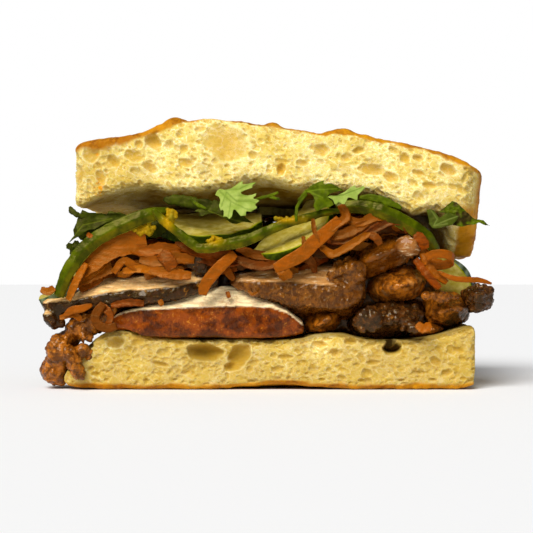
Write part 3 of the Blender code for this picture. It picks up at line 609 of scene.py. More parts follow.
def upper_bread(material):
    """The lid: crust above, at the right end and behind, a cut crumb face to the front and the left."""
    piece = loaf("bread_upper", "bread_upper_crumb")
    places = read(piece)
    swell = np.zeros(len(places))
    for x, y, radius, height in BLISTERS:
        near = np.clip(1 - ((places[:, 0] - x) ** 2 + (places[:, 1] - y) ** 2) / radius ** 2, 0, 1)
        swell = np.maximum(swell, height * near ** 1.2)
    raised = ramp(places[:, 2], CROWN(places[:, 0]) - 12, CROWN(places[:, 0]) - 4)
    places[:, 2] += swell * raised
    write(piece, places)

    def crust(places, normals):
        x, y, z = places.T
        above = CROWN(x) - z + waves(places, 5, 61) * 1.1
        line = 1 - ramp(above, THICK(x) * 0.6, THICK(x) * 1.3)
        top = ramp(normals[:, 2], 0.25, 0.55) * ramp(z, 72, 76) * ramp(y, -37.5, -36)
        right = ramp(x, 66, 69) * ramp(normals[:, 0], 0.45, 0.7) * ramp(y, -34, -28)
        back = ramp(normals[:, 1], 0.3, 0.6) * ramp(y, 30, 34)
        side = ramp(x + waves(places, 4, 62) * 0.8, 66.4, 67.6) * (1 - ramp(z, 62, 67))
        return np.clip(np.maximum.reduce([line * ramp(z, 72, 76), top, right, back, side]), 0, 1)

    counts = [(1500, 0.3, 0.6), (320, 0.6, 1.0), (56, 1.0, 1.7)]
    places, normals = crumb_relief(piece, crust, counts, UPPER_HOLLOWS, 5)
    speckled = ramp(waves(places, 1.1, 10, 2), 0.0, 0.3)
    stain = near_spot(places, -60.5, 71.5, 1.6, 3.4) * speckled + near_spot(places, -61.4, 83, 0.5, 0.5)
    under = ramp(-normals[:, 2], 0.1, 0.6) * (1 - ramp(places[:, 0], 62, 66))
    deep = ramp(places[:, 1], -38.5, -26)
    left = 1 - ramp(places[:, 0], -56, -42)
    blotch = 0.25 * ramp(waves(places, 4, 12), 0, 0.5)
    shade = under * (0.3 + 0.6 * deep + blotch) * (1 - 0.5 * left)
    low = 1 - ramp(places[:, 2] + waves(places, 6, 13) * 2, 60, 70)
    ends = ramp(np.abs(places[:, 0] - 8), 40, 74)
    # Painted light: the lid's lower right, from x 58 and below z 64, is kept unsoaked and so paler, to
    # lighten a side that lies in shadow.
    inner = ramp(places[:, 0], 58, 61) * (1 - ramp(places[:, 2], 58, 64))
    soaked = (0.5 * low + 0.5 * ends + 0.4 * ramp(waves(places, 7, 14), 0.1, 0.6)) * (1 - inner)
    blister = swell / 2.2 * ramp(waves(places, 3.5, 9), -0.5, 0.5)
    paint(piece, blister=blister, stain=stain, shade=shade, soaked=soaked)
    return finish_piece(piece, "bread_upper_crumb", material, "bread", "bread_upper")


def lower_bread(material):
    """The base: a thin golden crust below and at its back, the rest cut or torn crumb."""
    piece = loaf("bread_lower", "bread_lower_crumb")

    def crust(places, normals):
        x, y, z = places.T
        line = 1 - ramp(z + waves(places, 7, 71) * 0.8, 1.1, 2.4)
        below = ramp(-normals[:, 2], 0.35, 0.65) * (1 - ramp(z, 3, 5))
        back = ramp(normals[:, 1], 0.3, 0.6) * ramp(y, 30, 34)
        return np.clip(np.maximum.reduce([line, below, back]), 0, 1)

    counts = [(1700, 0.3, 0.6), (400, 0.6, 1.0), (80, 1.0, 1.5)]
    places, normals = crumb_relief(piece, crust, counts, LOWER_HOLLOWS, 15, lean=0.0)
    puffy = near_spot(places, 20, 15.5, 7, 4.4) + near_spot(places, -56, 15.6, 3, 2) * 0.8
    soaked = 1.05 + 0.5 * waves(places, 9, 21) - puffy * 1.2
    top = ramp(normals[:, 2], 0.3, 0.7) * 0.6
    hole = near_spot(places, -23.4, 12.6, 5.4, 2.6) * 0.75 + near_spot(places, -11, 11.6, 3.4, 2.8) * 0.4
    # Painted shade, almost black, in the deep hole near x 43 and the slit above it.
    drip = near_spot(places, 42.8, 14.6, 3.4, 2.0) + near_spot(places, 42.2, 18.4, 1.5, 3)
    stain = near_spot(places, 36, 18.6, 4, 0.8) * 0.6 + near_spot(places, -40, 18.4, 6, 0.7) * 0.5
    paint(piece, soaked=soaked, shade=np.maximum(top, hole), drip=ramp(drip, 0.3, 0.6) * 0.95, stain=stain)
    return finish_piece(piece, "bread_lower_crumb", material, "bread", "bread_lower")


# -------- chicken

def meat(node, material, seed, pale=None, char=None, rugged=0.5, knobby=0.0, slot="chicken", nubs=(),
         streaked=0.0):
    """A piece of chicken from its CAD node: soft lumps, grain where it is cut, and nubs where it is torn.

    pale and char turn places and normals into the share of cut meat and of charring.
    """
    piece = sculpting_copy(node, node + "_roast", MEAT_MESH, 2, nubs)
    places, normals = surface_of(piece)
    cut = pale(places, normals) if pale else np.zeros(len(places))
    burnt = char(places, normals) if char else np.zeros(len(places))
    cut = np.clip(cut + (waves(places, 2.2, seed + 5) * 0.35) * (cut > 0.02) * (cut < 0.98), 0, 1)
    lumps = waves(places, 7, seed) * 1.1 * rugged + waves(places, 2, seed + 1) * 0.7 * rugged
    fibre = waves(places * np.array((0.2, 0.5, 1.0)), 0.9, seed + 2, 2) * 0.22
    bumps = (knobs(places, 2.3, seed + 3) - 0.45) * knobby * (1 - cut * 0.7)
    out = 0.25 + lumps * (1 - cut * 0.6) + fibre * cut + bumps
    push(piece, places, normals, out)
    paint(piece, streaked=streaked, pale=cut, char=burnt)
    return finish_piece(piece, node + "_roast", material, slot, node)


def upward(places, normals):
    return ramp(normals[:, 2], 0.3, 0.5)


def clump(centre, reach, many, sizes, seed):
    """Nubs scattered in an egg-shaped space: the torn, crumbly ends of roast meat."""
    rng = random.Random(seed)
    nubs = []
    while len(nubs) < many:
        spot = Vector([rng.uniform(-1, 1) for _ in range(3)])
        if spot.length < 1:
            place = [middle + part * half for middle, part, half in zip(centre, spot, reach)]
            nubs.append((place, rng.uniform(*sizes)))
    return nubs


def chicken():
    glazed = meat_finish("glazed skin", (138, 58, 0), (56, 12, 0), (255, 230, 176), 0.2, 7)
    browned = meat_finish("browned edge", (56, 22, 0), (26, 10, 0), (248, 196, 124))
    wedge = meat_finish("browned skin", (128, 68, 6), (84, 40, 2), (146, 92, 42), 0.28, 6)
    mottled = meat_finish("mottled edge", (120, 66, 10), (70, 32, 2), (204, 146, 82), 0.25, 2.6)
    torn = meat_finish("torn strips", (182, 104, 22), (76, 34, 4), (206, 150, 84), 0.3, 3)
    burnt = meat_finish("charred strips", (96, 52, 16), (38, 18, 4), (132, 88, 48), 0.28, 3)
    meat("chicken_slice_lower", glazed, 101, upward, rugged=0.22)
    nubs = clump((-77, -36, 25), (4, 3, 3.4), 26, (0.8, 1.7), 1)
    nubs += clump((-25, -38, 45), (4.4, 2.5, 3.6), 26, (0.8, 1.7), 2)
    meat("chicken_slice_left", browned, 102, lambda p, n: ramp(n[:, 2], 0.45, 0.7), None, 0.4, 0.4, nubs=nubs)
    nubs = clump((27, -37.5, 42), (6.5, 3, 4.4), 55, (0.9, 1.8), 3)
    meat("chicken_slice_middle", mottled, 103, lambda p, n: upward(p, n) * (1 - ramp(p[:, 0], 20, 23)), None,
         0.5, 0.6, nubs=nubs, streaked=0.35)
    nubs = clump((-66, -37, 16), (3, 3, 6), 20, (0.8, 1.6), 4)
    nubs += clump((-77, -34, 12), (3, 3, 6), 16, (0.8, 1.6), 5)
    meat("chicken_hanging", torn, 104, None, None, 0.7, 0.8, nubs=nubs)
    nubs = clump((34, -38.8, 25), (5, 2, 4.4), 34, (0.7, 1.6), 6)
    nubs += clump((50, -38.5, 22), (5, 2, 3), 16, (0.7, 1.5), 12)
    meat("chicken_strip_dark", burnt, 105, None, lambda p, n: 0.35 + 0.5 * waves(p, 5, 41),
         1.0, 0.7, "char", nubs)
    nubs = clump((60, -38, 33), (7, 2.5, 2), 26, (0.6, 1.3), 7)
    meat("chicken_strip_right", torn, 106, None, lambda p, n: ramp(p[:, 0] - (p[:, 2] - 28), 62, 69),
         0.5, 0.5, nubs=nubs)
    meat("chicken_strip_under", torn, 107, rugged=0.3)
    meat("chicken_strip_small", torn, 108, rugged=0.6, knobby=0.3)
    meat("chicken_strip_torn", torn, 109, lambda p, n: 0.2 * ramp(waves(p, 4, 42), 0.1, 0.5), None, 0.7, 0.2)
    nubs = clump((49, -39, 51), (5, 2.5, 4), 34, (0.7, 1.6), 9)
    meat("chicken_strip_skin", wedge, 110, lambda p, n: ramp(p[:, 0] + waves(p, 3, 43) * 2, 44, 47), None,
         0.4, 0.5, nubs=nubs)
    nubs = clump((73.8, -37, 32.2), (4.6, 4, 4), 40, (0.9, 1.9), 10)
    meat("chicken_knob_right", burnt, 111, None, lambda p, n: 0.2 + 0.4 * waves(p, 4, 44),
         0.8, 1.2, "char", nubs)
    gap_shade(torn)


def gap_shade(material):
    """Meat pressed together in the gaps between the larger pieces and set back from the cut face, painted
    almost black as the shade in those gaps.
    """
    parts = [copy_of(node, "scrap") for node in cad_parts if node.startswith("chicken_")]
    piece = joined(parts)
    even(piece, 1.3)
    places, normals = surface_of(piece)
    places = places + normals * (2.1 + waves(places, 3, 120) * 0.8)[:, None]
    places[:, 1] = np.clip(places[:, 1], -23, 31) + waves(places, 4, 121) * 1.5
    write(piece, places)
    even(piece, GAP_SHADE_MESH)
    low = profile((-60, 20.4), (-44, 19), (46, 17.6), (60, 19.6), (72, 22))
    high = profile((-60, 44), (60, 50))
    places = read(piece)
    places[:, 2] = np.clip(places[:, 2], low(places[:, 0]), high(places[:, 0]))
    places[:, 0] = np.clip(places[:, 0], -64, 66)
    write(piece, places)
    even(piece, GAP_SHADE_MESH)
    # char 0.9 paints this filler almost black: painted shade in the gaps.
    paint(piece, pale=0, char=0.9, streaked=0)
    finish_piece(piece, "chicken_gap_shade", material, "chicken")


# -------- carrot

def shred(path, width, thick=0.7, facing=(0, -1, 0), curl=0.0, steps=14, seed=0, taper=0.4, twist=0.0):
    """A flat shred along a path, its broad side towards facing, its edges a little ragged."""
    bpy.ops.mesh.primitive_grid_add(x_subdivisions=steps, y_subdivisions=3, size=1)
    piece = bpy.context.object
    line = smooth_path(path, steps)
    rng = random.Random(seed)
    rag = [rng.uniform(0.88, 1.1) for _ in range(steps + 1)]
    for point in piece.data.vertices:
        i = round((point.co.x + 0.5) * steps)
        v = point.co.y * 2
        along = (line[min(i + 1, steps)] - line[max(i - 1, 0)]).normalized()
        across = along.cross(Vector(facing)).normalized()
        across.rotate(Quaternion(along, twist * (i / steps - 0.5)))
        out = across.cross(along)
        narrow = (1 - taper * abs(2 * i / steps - 1) ** 4) * rag[i]
        point.co = (line[i] + across * width / 2 * v * narrow + out * curl * v * v) * MM
    piece.data.update()
    return work(piece, "SOLIDIFY", thickness=thick * MM, offset=0)


SHREDS = [
    # the path's points, the width, and the curl across it
    (((-67, -40, 41.6), (-61, -40.6, 47.2), (-53, -40.6, 51.2), (-44, -39.4, 53)), 8.8, 0.3),
    (((-64.6, -42.2, 44.6), (-68, -42.6, 38.6), (-71, -42.6, 31.6)), 2.6, 0.2),
    (((-55.2, -41.6, 41.2), (-51.6, -42.4, 45.4), (-47.2, -42, 43.2), (-42.2, -41.6, 42.6), (-36, -41, 43.6)),
     2.8, 0.3),
    (((-52, -41, 41.8), (-46, -42.3, 42.6), (-41, -41.4, 41.4)), 2.6, 0.2),
    (((-50, -39.6, 50), (-44, -40.4, 48.6), (-38, -40.8, 49.8), (-32, -40.2, 48.6)), 4.2, 0.7),
    (((-46, -40.4, 46), (-40, -41.6, 45.2), (-34, -41.6, 46.4), (-27, -40.4, 45.6)), 4.0, 0.5),
    (((-39, -42, 48), (-36, -43, 45.6), (-34.4, -42.8, 42.6)), 4.8, 0.5),
    (((-43, -41.6, 42.6), (-36, -42.4, 41), (-28, -42, 40.2)), 3.8, 0.3),
    (((-34, -39.6, 51), (-27, -40.4, 49), (-20, -40.4, 47.4), (-14, -40, 47.6)), 3.6, 0.4),
    (((-30, -39, 47), (-24, -40, 46), (-17, -40, 44.6), (-10, -39.6, 45.4)), 3.2, 0.4),
    (((-13, -41, 46.6), (-7, -41.6, 44.2), (-1, -41.6, 43.6), (5, -41.2, 46)), 3.2, 0.4),
    (((-12, -40, 50), (-5, -40.6, 47.4), (2, -40.6, 47.4), (8, -40, 50)), 3.4, 0.4),
    (((2.0, -43.2, 44), (4.6, -43.8, 41.4), (5.6, -43.4, 38.8)), 4.6, 0.5),
    (((11.2, -44, 54), (11.6, -44.4, 50)), 1.5, 0.1),
    (((14.6, -43.6, 60), (15.2, -44.2, 55.6), (16.8, -44, 50.8)), 1.6, 0.1),
    (((24.4, -41.4, 65), (26.2, -42.4, 60.6), (21, -43, 57), (17.4, -43, 53)), 3.2, 0.5),
    (((17.4, -42, 50.6), (21.4, -42.6, 47.8), (26.4, -42.2, 50), (31, -41.6, 53), (36, -40.4, 56.4)), 2.8,
     0.4),
    (((19, -41, 55), (24, -41.8, 54.4), (29, -41.4, 56.2), (34, -40.6, 58.6)), 3.6, 0.6),
    (((21, -40.6, 52), (27, -41.2, 53.2), (33, -40.6, 57), (39, -40, 59.6)), 3.0, 0.5),
    (((26, -40, 60.4), (31, -40.8, 58.6), (36, -40.4, 60.6), (41, -40, 60.6)), 3.2, 0.5),
    (((33, -40.6, 54.2), (37.6, -41, 57), (42, -41, 59), (46.4, -41, 58.4), (48, -40.6, 55.4)), 2.6, 0.4),
    (((50.6, -40.6, 55), (53, -41, 52.4), (54, -40.6, 49.6)), 3.6, 0.3),
    (((50.6, -41, 46), (54.4, -42.4, 40.6), (59, -42.8, 35.8)), 2.7, 0.3),
    (((53, -40, 48), (56, -41.4, 42.4), (61.6, -42, 37.6)), 2.9, 0.3),
    (((52, -38.6, 50), (56, -39.6, 46), (62, -40, 43.6)), 2.6, 0.3),
    (((-66.4, -41.6, 24.6), (-69.4, -42, 26.6), (-74, -41.6, 25.4)), 2.2, 0.2),
    (((-56, -41.6, 29.6), (-50, -42, 30.8), (-44.6, -41.4, 30.4)), 2.4, 0.3),
    (((-60, -41, 30.2), (-56.4, -41.8, 26.6), (-57, -42, 22.4)), 2.6, 0.2),
    (((-39, -42.4, 31.6), (-38, -42.8, 29.8)), 1.8, 0.1),
    (((-64.4, -42.8, 54.8), (-62.6, -43, 53.6)), 1.8, 0.1),
    (((-70, -38.6, 37), (-66, -38.6, 39.4), (-61, -38.6, 41.4), (-56, -38.6, 43)), 5.0, 0.2),
    (((-66, -39, 40), (-62.4, -39.2, 43), (-58, -39.2, 45.6)), 5.0, 0.2),
    (((-68, -36.6, 35.4), (-65, -36.6, 37), (-60, -36.6, 39.6)), 3.6, 0.2),
    (((50.8, -44, 23.4), (53, -44.6, 21.8), (55.8, -44, 23)), 3.0, 0.2),
    (((-80.6, -42, 35.4), (-78, -42.6, 34.6), (-76, -42, 36)), 2.6, 0.2),
    (((34.4, -46, 54.6), (36.6, -46.4, 53.2), (38, -45.8, 51)), 2.8, 0.2),
    (((-15.4, -40.6, 34.6), (-14.6, -41, 32.4)), 1.5, 0.1),
    (((-8, -41.4, 34.8), (-6.4, -41.8, 33.6), (-4.8, -41.4, 34.4)), 1.2, 0.1),
]


def covered(point, out):
    """Whether a shred here would hide a slice of cucumber at the cut face."""
    brim = np.interp(point.x, (-45, -36, -10, 4, 12, 20), (52, 46.4, 45.6, 45.6, 47.6, 53))
    return point.y < -8 and -46 < point.x < 21 and point.z + abs(out.z) * 2 > brim


def carrot(material):
    """Shreds laid one by one over the front of the heap, and many more scattered over a smaller core."""
    core = copy_of("carrot_heap", "carrot_core")
    even(core, CORE_MESH, 4)
    places, normals = surface_of(core)
    push(core, places, normals, -(1.5 + waves(places, 3, 81) * 0.7))
    spots = [(Vector(point), Vector(out)) for point, out in zip(*surface_of(core))]
    # deep 0.75 paints the core dark red-brown: painted shade between the shreds.
    paint(core, deep=0.75, tint=0)
    finish_piece(core, "carrot_core", material, "carrot")
    rng = random.Random(82)
    masters = []
    for i in range(SHRED_FORMS):
        long = rng.uniform(11, 20)
        bend = [rng.uniform(-2.2, 2.2) for _ in range(4)]
        rise = [rng.uniform(-1.4, 1.4) for _ in range(4)]
        along = [(share - 0.5) * long for share in (0, 0.33, 0.67, 1)]
        path = list(zip(along, bend, rise))
        width = rng.uniform(2.0, 3.6)
        masters.append(shred(path, width, 0.6, (0, 0, 1), rng.uniform(0.1, 0.5), 10, i, 0.5, 1.0))
    scattered = []
    outside = [(point, out) for point, out in spots
               if (max(abs(out.x), abs(out.y)) > 0.6 or abs(point.y) < 24) and not covered(point, out)]
    for _ in range(SHREDS_SCATTERED):
        point, out = rng.choice(outside)
        master = rng.choice(masters)
        piece = bpy.data.objects.new("shred", master.data.copy())
        bpy.context.scene.collection.objects.link(piece)
        piece.rotation_euler = out.to_track_quat("Z", "Y").to_euler()
        piece.rotation_euler.rotate_axis("Z", rng.choice((0, math.pi)) + rng.gauss(0, 0.55))
        if abs(out.y) > 0.5:
            piece.rotation_euler = Euler((math.radians(90 if out.y < 0 else -90), rng.gauss(0, 0.45), 0))
        piece.location = (point + out * rng.uniform(0.4, 1.6)) * MM
        paint(piece, deep=rng.choice((0.0, 0.1, 0.25, 0.45)), tint=rng.random() ** 2)
        scattered.append(piece)
    for master in masters:
        bpy.data.objects.remove(master)
    heap = joined(scattered)
    alone(heap)
    bpy.ops.object.transform_apply(location=True, rotation=True, scale=True)
    finish_piece(heap, "carrot_shreds", material, "carrot", "carrot_heap", sharp=35)
    laid = []
    for i, (path, width, curl) in enumerate(SHREDS):
        piece = shred(path, width, 0.7, (0, -1, 0.15), curl, 20, 300 + i, 0.35, rng.uniform(-0.5, 0.5))
        work(piece, "SUBSURF", levels=1, render_levels=1, subdivision_type="SIMPLE")
        places, normals = surface_of(piece)
        push(piece, places, normals, waves(places, 2.2, 83) * 0.2 + waves(places, 0.8, 84) * 0.08)
        inner = 0.3 * ramp(places[:, 0].mean(), -30, 0) * (1 - ramp(places[:, 0].mean(), 48, 54))
        paint(piece, deep=rng.choice((0.0, 0.1, 0.2)) + inner, tint=rng.random() * 0.8)
        laid.append(piece)
    finish_piece(joined(laid), "carrot_laid", material, "carrot", sharp=35)
    for node in ("curl", "tail", "over_slice", "bent", "left_loop", "left_tip"):
        strip = copy_of("carrot_" + node, "carrot_%s_soft" % node)
        even(strip, STRIP_MESH, 1)
        places, normals = surface_of(strip)
        push(strip, places, normals, waves(places, 2, 90) * 0.12)
        paint(strip, deep=0.6 if node == "left_loop" else 0.0, tint=0.4)
        finish_piece(strip, "carrot_%s_soft" % node, material, "carrot", "carrot_" + node)


# -------- cucumber and pepper

CUCUMBERS = {
    # centre, turn in degrees, radius, the share of it that the half-moon spans, thickness, spin and bloom
    "front_left": ((-23, -27.5, 56.5), (22, 0, 0), 22, 0.9, 3.6, 0, 0),
    "front_middle": ((10.6, -33.8, 55.4), (30, -22, 0), 19, 0.9, 2.8, 35, 0),
    "left_tip": ((-73.6, -30, 35.4), (14, -34, -8), 12, 0.9, 3.6, 0, 0.3),
    "right": ((64.4, -27, 39.4), (-66, 45, 0), 13, 0.86, 3.6, 0, 0.7),
    "back_left": ((-34, 16, 62.4), (-3, 2, 172), 22, 0.9, 3.6, 0, 0),
    "back_right": ((14, 16, 63.2), (2, -1, 188), 22, 0.9, 3.6, 0, 0),
}


def cucumber(name, centre, turn, radius, span, thick, spin, bloom, material):
    """A half-moon slice with a crisp rind, its face a little wavy."""
    bpy.ops.mesh.primitive_grid_add(x_subdivisions=40, y_subdivisions=16, size=1)
    piece = bpy.context.object
    rotation = Euler([math.radians(angle) for angle in turn]).to_matrix()
    rotation = rotation @ Matrix.Rotation(math.radians(spin), 3, "Z")
    shares = np.empty(len(piece.data.vertices))
    for i, point in enumerate(piece.data.vertices):
        share = min(1.0, (point.co.y + 0.5) ** 0.55)
        angle = math.asin(span * math.sin(math.pi * point.co.x))
        x = radius * math.sin(angle)
        rim = -radius * math.cos(angle)
        cut = 0.03 * radius * math.sin(x * 0.5)
        y = cut + (rim - cut) * share
        z = 0.25 * math.sin(0.45 * x + 0.6 * y) + 0.9 * (x / radius) ** 2
        shares[i] = math.hypot(x, y) / radius
        point.co = (rotation @ Vector((x, y + radius / 2, z)) + Vector(centre)) * MM
    piece.data.update()
    paint(piece, radius=shares, bloom=bloom * ramp(waves(read(piece), 2.5, 130), -0.2, 0.5))
    work(piece, "SOLIDIFY", thickness=(thick - 0.2) * MM, offset=0)
    work(piece, "BEVEL", width=0.35 * MM, segments=2, limit_method="ANGLE", angle_limit=math.radians(50))
    work(piece, "SUBSURF", levels=1, render_levels=1)
    bpy.ops.object.mode_set(mode="EDIT")
    bpy.ops.mesh.select_all(action="SELECT")
    bpy.ops.mesh.normals_make_consistent(inside=False)
    bpy.ops.object.mode_set(mode="OBJECT")
    finish_piece(piece, "cucumber_%s_slice" % name, material, "cucumber", "cucumber_" + name)


def pepper(name, material, out, pith=()):
    """A pepper strip from its CAD node: skin above its ridge, its inner side below, paler along its edges.

    pith holds the spots of seedy, grainy yellow flesh as (across, up, half width, half height).
    """
    piece = copy_of("pepper_" + name, "pepper_%s_strip" % name)
    even(piece, PEPPER_MESH, 3)
    places, normals = surface_of(piece)
    seedy = sum((near_spot(places, *spot) for spot in pith), np.zeros(len(places)))
    push(piece, places, normals, waves(places, 4, 95) * 0.25 + waves(places, 1.0, 96) * (0.05 + 0.35 * seedy))
    facing = normals @ np.array(out)
    paint(piece, inner=ramp(-normals[:, 2], 0.05, 0.3) * 0.8, flesh=1 - ramp(facing, 0.0, 0.3), pith=seedy)
    finish_piece(piece, "pepper_%s_strip" % name, material, "pepper", "pepper_" + name)


def pith(material):
    """Grainy yellow pith that hangs from the left and middle strips, and a knot of seeds at the bend."""
    spots = clump((-44.8, -40, 57), (4.4, 1.2, 2.6), 40, (0.6, 1.1), 21)
    spots += clump((-35.4, -42, 61.2), (2.6, 0.8, 2.6), 34, (0.5, 0.9), 22)
    spots += clump((-19.6, -42.6, 52.6), (3.0, 1.2, 1.6), 26, (0.5, 1.1), 23)
    spots += clump((6, -42, 60), (6, 0.8, 0.8), 26, (0.5, 0.9), 24)
    bpy.ops.mesh.primitive_ico_sphere_add(subdivisions=2, radius=1.2 * MM,
                                          location=Vector((-44.8, -40, 57)) * MM)
    piece = bpy.context.object
    bpy.ops.object.transform_apply(location=True, rotation=True, scale=True)
    add_nubs(spots)
    even(piece, PITH_MESH, 2)
    places, normals = surface_of(piece)
    push(piece, places, normals, waves(places, 1.1, 97) * 0.25)
    pale = 0.3 + 0.4 * waves(places, 2.5, 98)
    paint(piece, inner=pale, flesh=pale, pith=0.55 + 0.5 * waves(places, 3, 99))
    finish_piece(piece, "pepper_pith", material, "pepper")


# -------- coriander

LEAF_COLOURS = {
    # light, dark and along the veins
    # The first finish is the leaf colour painted lighter, as painted light on the front leaves that catch it;
    # dark is it painted darker, as painted shade, for leaves lying in shadow.
    "painted_lit": ((154, 172, 82), (126, 148, 54), (104, 128, 42)),
    "fresh": ((86, 102, 2), (52, 68, 0), (110, 130, 24)),
    "greyish": ((70, 82, 16), (42, 56, 4), (108, 122, 50)),
    "dark": ((58, 68, 2), (26, 34, 0), (90, 98, 12)),
}
LEAVES = {
    # the finish, how far it has wilted, and the veins as lines of (across, up) in millimetres on the cut face
    "front": ("painted_lit", 0, [((-18.2, 70), (-14, 66), (-8.6, 63.4), (-4.6, 62.2)), ((-14, 66), (-15, 60.4)),
                            ((-15.6, 69.4), (-12, 66), (-7, 66), (-3, 64.6)),
                            ((-16, 70), (-11, 70.4), (-5.8, 73)),
                            ((-15.6, 69.4), (-17.2, 64.4))]),
    "under": ("dark", 0, [((-22, 63), (-16, 60.4), (-8, 58.6))]),
    "middle_dark": ("fresh", 0, [((11, 69.4), (16, 70.4), (23, 70.8)), ((13, 69.8), (18, 67.6))]),
    "middle": ("painted_lit", 0, [((20, 67.8), (25, 68.2), (29, 69.8), (32, 71))]),
    "right": ("greyish", 0.1, [((56.6, 57.6), (58, 60), (56, 63)), ((56.6, 57.6), (61, 59.6), (65, 61)),
                            ((56.6, 57.6), (61.4, 58.4))]),
    "right_tip": ("fresh", 0.9, []),
    "left": ("dark", 0, [((-70, 53), (-66, 58), (-56, 60.4))]),
    "left_dark": ("dark", 0, []),
    "left_small": ("dark", 0, []),
    "back_left": ("fresh", 0, []),
    "back_right": ("fresh", 0, []),
    "back_end": ("dark", 0, []),
}


def leaf(name, material, wilt, veins, seed):
    """A thin leaf from its CAD node with rounded teeth, a few waves, veins, and curls where it has wilted."""
    piece = copy_of("leaf_" + name, "leaf")
    even(piece, LEAF_MESH, 3)
    places, normals = surface_of(piece)
    rise = waves(places, 5, seed) * (0.5 + wilt) + waves(places, 1.6, seed + 1) * wilt * 0.5
    vein = np.zeros(len(places))
    for line in veins:
        for (x, z), (x2, z2) in zip(line, line[1:]):
            along = np.array((x2 - x, z2 - z))
            gap = places[:, [0, 2]] - np.array((x, z))
            share = np.clip(gap @ along / (along @ along), 0, 1)
            aside = np.hypot(*(gap - share[:, None] * along).T)
            vein = np.maximum(vein, np.exp(-(aside / 0.22) ** 2))
    places = places - normals * 0.16
    places[:, 1] += rise
    write(piece, places)
    paint(piece, vein=vein, wilted=wilt * ramp(waves(places, 3, seed), -0.35, 0.3))
    finish_piece(piece, "leaf_%s_green" % name, material, "coriander", "leaf_" + name)


STEMS = (  # thin stems and the ragged edge of a leaf: a path and a width
    (((-28, -42.6, 67), (-25.6, -43, 65), (-22.6, -43.4, 63.6)), 1.1),
    (((-6, -45, 66.6), (-3, -45.4, 67.4), (0, -45.6, 68.2), (2.6, -45.6, 69.2)), 0.9),
    (((-1.6, -45.4, 67.8), (0.8, -45.6, 67.4), (2.8, -45.6, 66.8)), 0.8),
    (((12.3, -42.8, 69.6), (11, -43.4, 68.2), (9.4, -44, 66.6)), 0.8),
    (((12.3, -43, 68.6), (9.4, -44.6, 65), (8.8, -46, 62), (8.8, -46, 59)), 1.0),
    (((31, -39.8, 67.6), (35, -40, 67.8), (39, -40.2, 66.8), (43, -40.2, 65.2), (46, -40, 63.8)), 2.4),
)
LEAFLETS = (  # dark bits of leaf, in the leaf colour painted darker as shade, round the left pepper and in the gap under the upper bread
    (((-69.5, -37.4, 55.4), (-64, -37.4, 57), (-57, -37.2, 58.2), (-50, -37, 60)), 8),
    (((-70.8, -40, 64.4), (-69.6, -40.6, 62.6), (-67.6, -41, 61.4), (-65.4, -41, 60.8)), 1.9),
    (((-70, -39, 51), (-68, -39.2, 50), (-66.4, -39, 49.2)), 1.8),
    (((-70.2, -39, 49), (-69.4, -39.2, 48), (-68.4, -39, 47.6)), 1.5),
    (((-66.2, -39.6, 53.2), (-65, -39.8, 52.4), (-63.4, -39.6, 51.4)), 1.6),
    (((-38, -37, 67), (-31, -37, 66.6), (-25, -37, 65.4), (-19, -37, 65)), 4),
    (((-47, -35, 55.4), (-42, -35, 56.4), (-37, -35, 58)), 6),
)


def greens(name, forms, material, seed):
    """Bits of coriander too thin for the CAD model, joined into one piece."""
    parts = []
    for i, (path, width) in enumerate(forms):
        part = shred(path, width, 0.5, (0, -1, 0.1), 0.2, 22, seed + i, 0.7)
        places = read(part)
        rag = waves(places, 1.4, seed) * np.array((0.25, 0.4, 0.12 * width))[:, None]
        write(part, places + rag.T)
        parts.append(part)
    piece = joined(parts)
    paint(piece, vein=0, wilted=0)
    finish_piece(piece, name, material, "coriander")


# -------- stage, light and camera

def floor():
    bpy.ops.mesh.primitive_plane_add(size=6, location=(0, 0, -0.0002))
    ground = bpy.context.object
    ground.name = "floor"
    bpy.ops.object.transform_apply(location=True, rotation=False, scale=False)
    pale = Finish("pale floor")
    pale.feed(pale.shader.inputs["Base Color"], (0.9, 0.9, 0.9, 1))
    pale.feed(pale.shader.inputs["Roughness"], 0.9)
    ground.data.materials.append(pale.material)


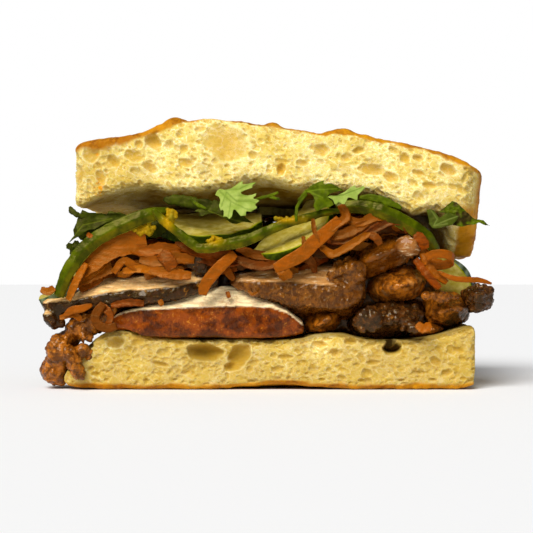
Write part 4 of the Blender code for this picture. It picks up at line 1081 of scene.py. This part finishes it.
def studio():
    floor()
    world = bpy.data.worlds.new("soft white room")
    world.use_nodes = True
    nodes, links = world.node_tree.nodes, world.node_tree.links
    room = nodes["Background"]
    room.inputs["Color"].default_value = (1, 1, 1, 1)
    room.inputs["Strength"].default_value = ROOM_LIGHT
    backdrop = nodes.new("ShaderNodeBackground")
    backdrop.inputs["Color"].default_value = (1, 1, 1, 1)
    backdrop.inputs["Strength"].default_value = 1.0
    seen = nodes.new("ShaderNodeLightPath")
    either = nodes.new("ShaderNodeMixShader")
    links.new(seen.outputs["Is Camera Ray"], either.inputs[0])
    links.new(room.outputs[0], either.inputs[1])
    links.new(backdrop.outputs[0], either.inputs[2])
    links.new(either.outputs[0], nodes["World Output"].inputs["Surface"])
    bpy.context.scene.world = world
    bpy.ops.object.light_add(type="SUN", rotation=(math.radians(46), 0, math.radians(-26)))
    lamp = bpy.context.object
    lamp.name = "key"
    lamp.data.energy = SUN_LIGHT
    lamp.data.angle = math.radians(SUN_SPREAD)
    bpy.context.scene.view_settings.view_transform = "Standard"
    bpy.context.scene.view_settings.look = "None"


def camera():
    """Level with the filling, straight in front of the cut face."""
    data = bpy.data.cameras.new("view")
    data.sensor_width = 36
    data.lens = LENS
    eye = bpy.data.objects.new("view", data)
    eye.location = [part * MM for part in EYE]
    eye.rotation_euler = (math.radians(90), 0, 0)
    bpy.context.scene.collection.objects.link(eye)
    bpy.context.scene.camera = eye


# -------- the sandwich

def sandwich():
    loaf = bread_finish()
    upper_bread(loaf)
    lower_bread(loaf)
    chicken()
    carrot(carrot_finish())
    flesh = cucumber_finish()
    for name, form in CUCUMBERS.items():
        cucumber(name, *form, flesh)
    green = pepper_finish()
    pepper("left", green, (0, -1, 0.2))
    pepper("middle", green, (0, -1, 0.2), ((-36, 59, 2, 3), (-20, 52.6, 3, 1.6), (5, 60, 6, 1.2)))
    pepper("right", green, (0, -1, 0.2))
    pith(green)
    for name in ("back_left", "back_right"):
        pepper(name, green, (0, 1, 0.2))
    finishes = {name: leaf_finish(name, *colours) for name, colours in LEAF_COLOURS.items()}
    for i, (name, (look, wilt, veins)) in enumerate(LEAVES.items()):
        leaf(name, finishes[look], wilt, veins, 500 + i)
    greens("coriander_stems", STEMS, finishes["fresh"], 560)
    greens("coriander_bits", LEAFLETS, finishes["dark"], 580)


sandwich()
studio()
camera()
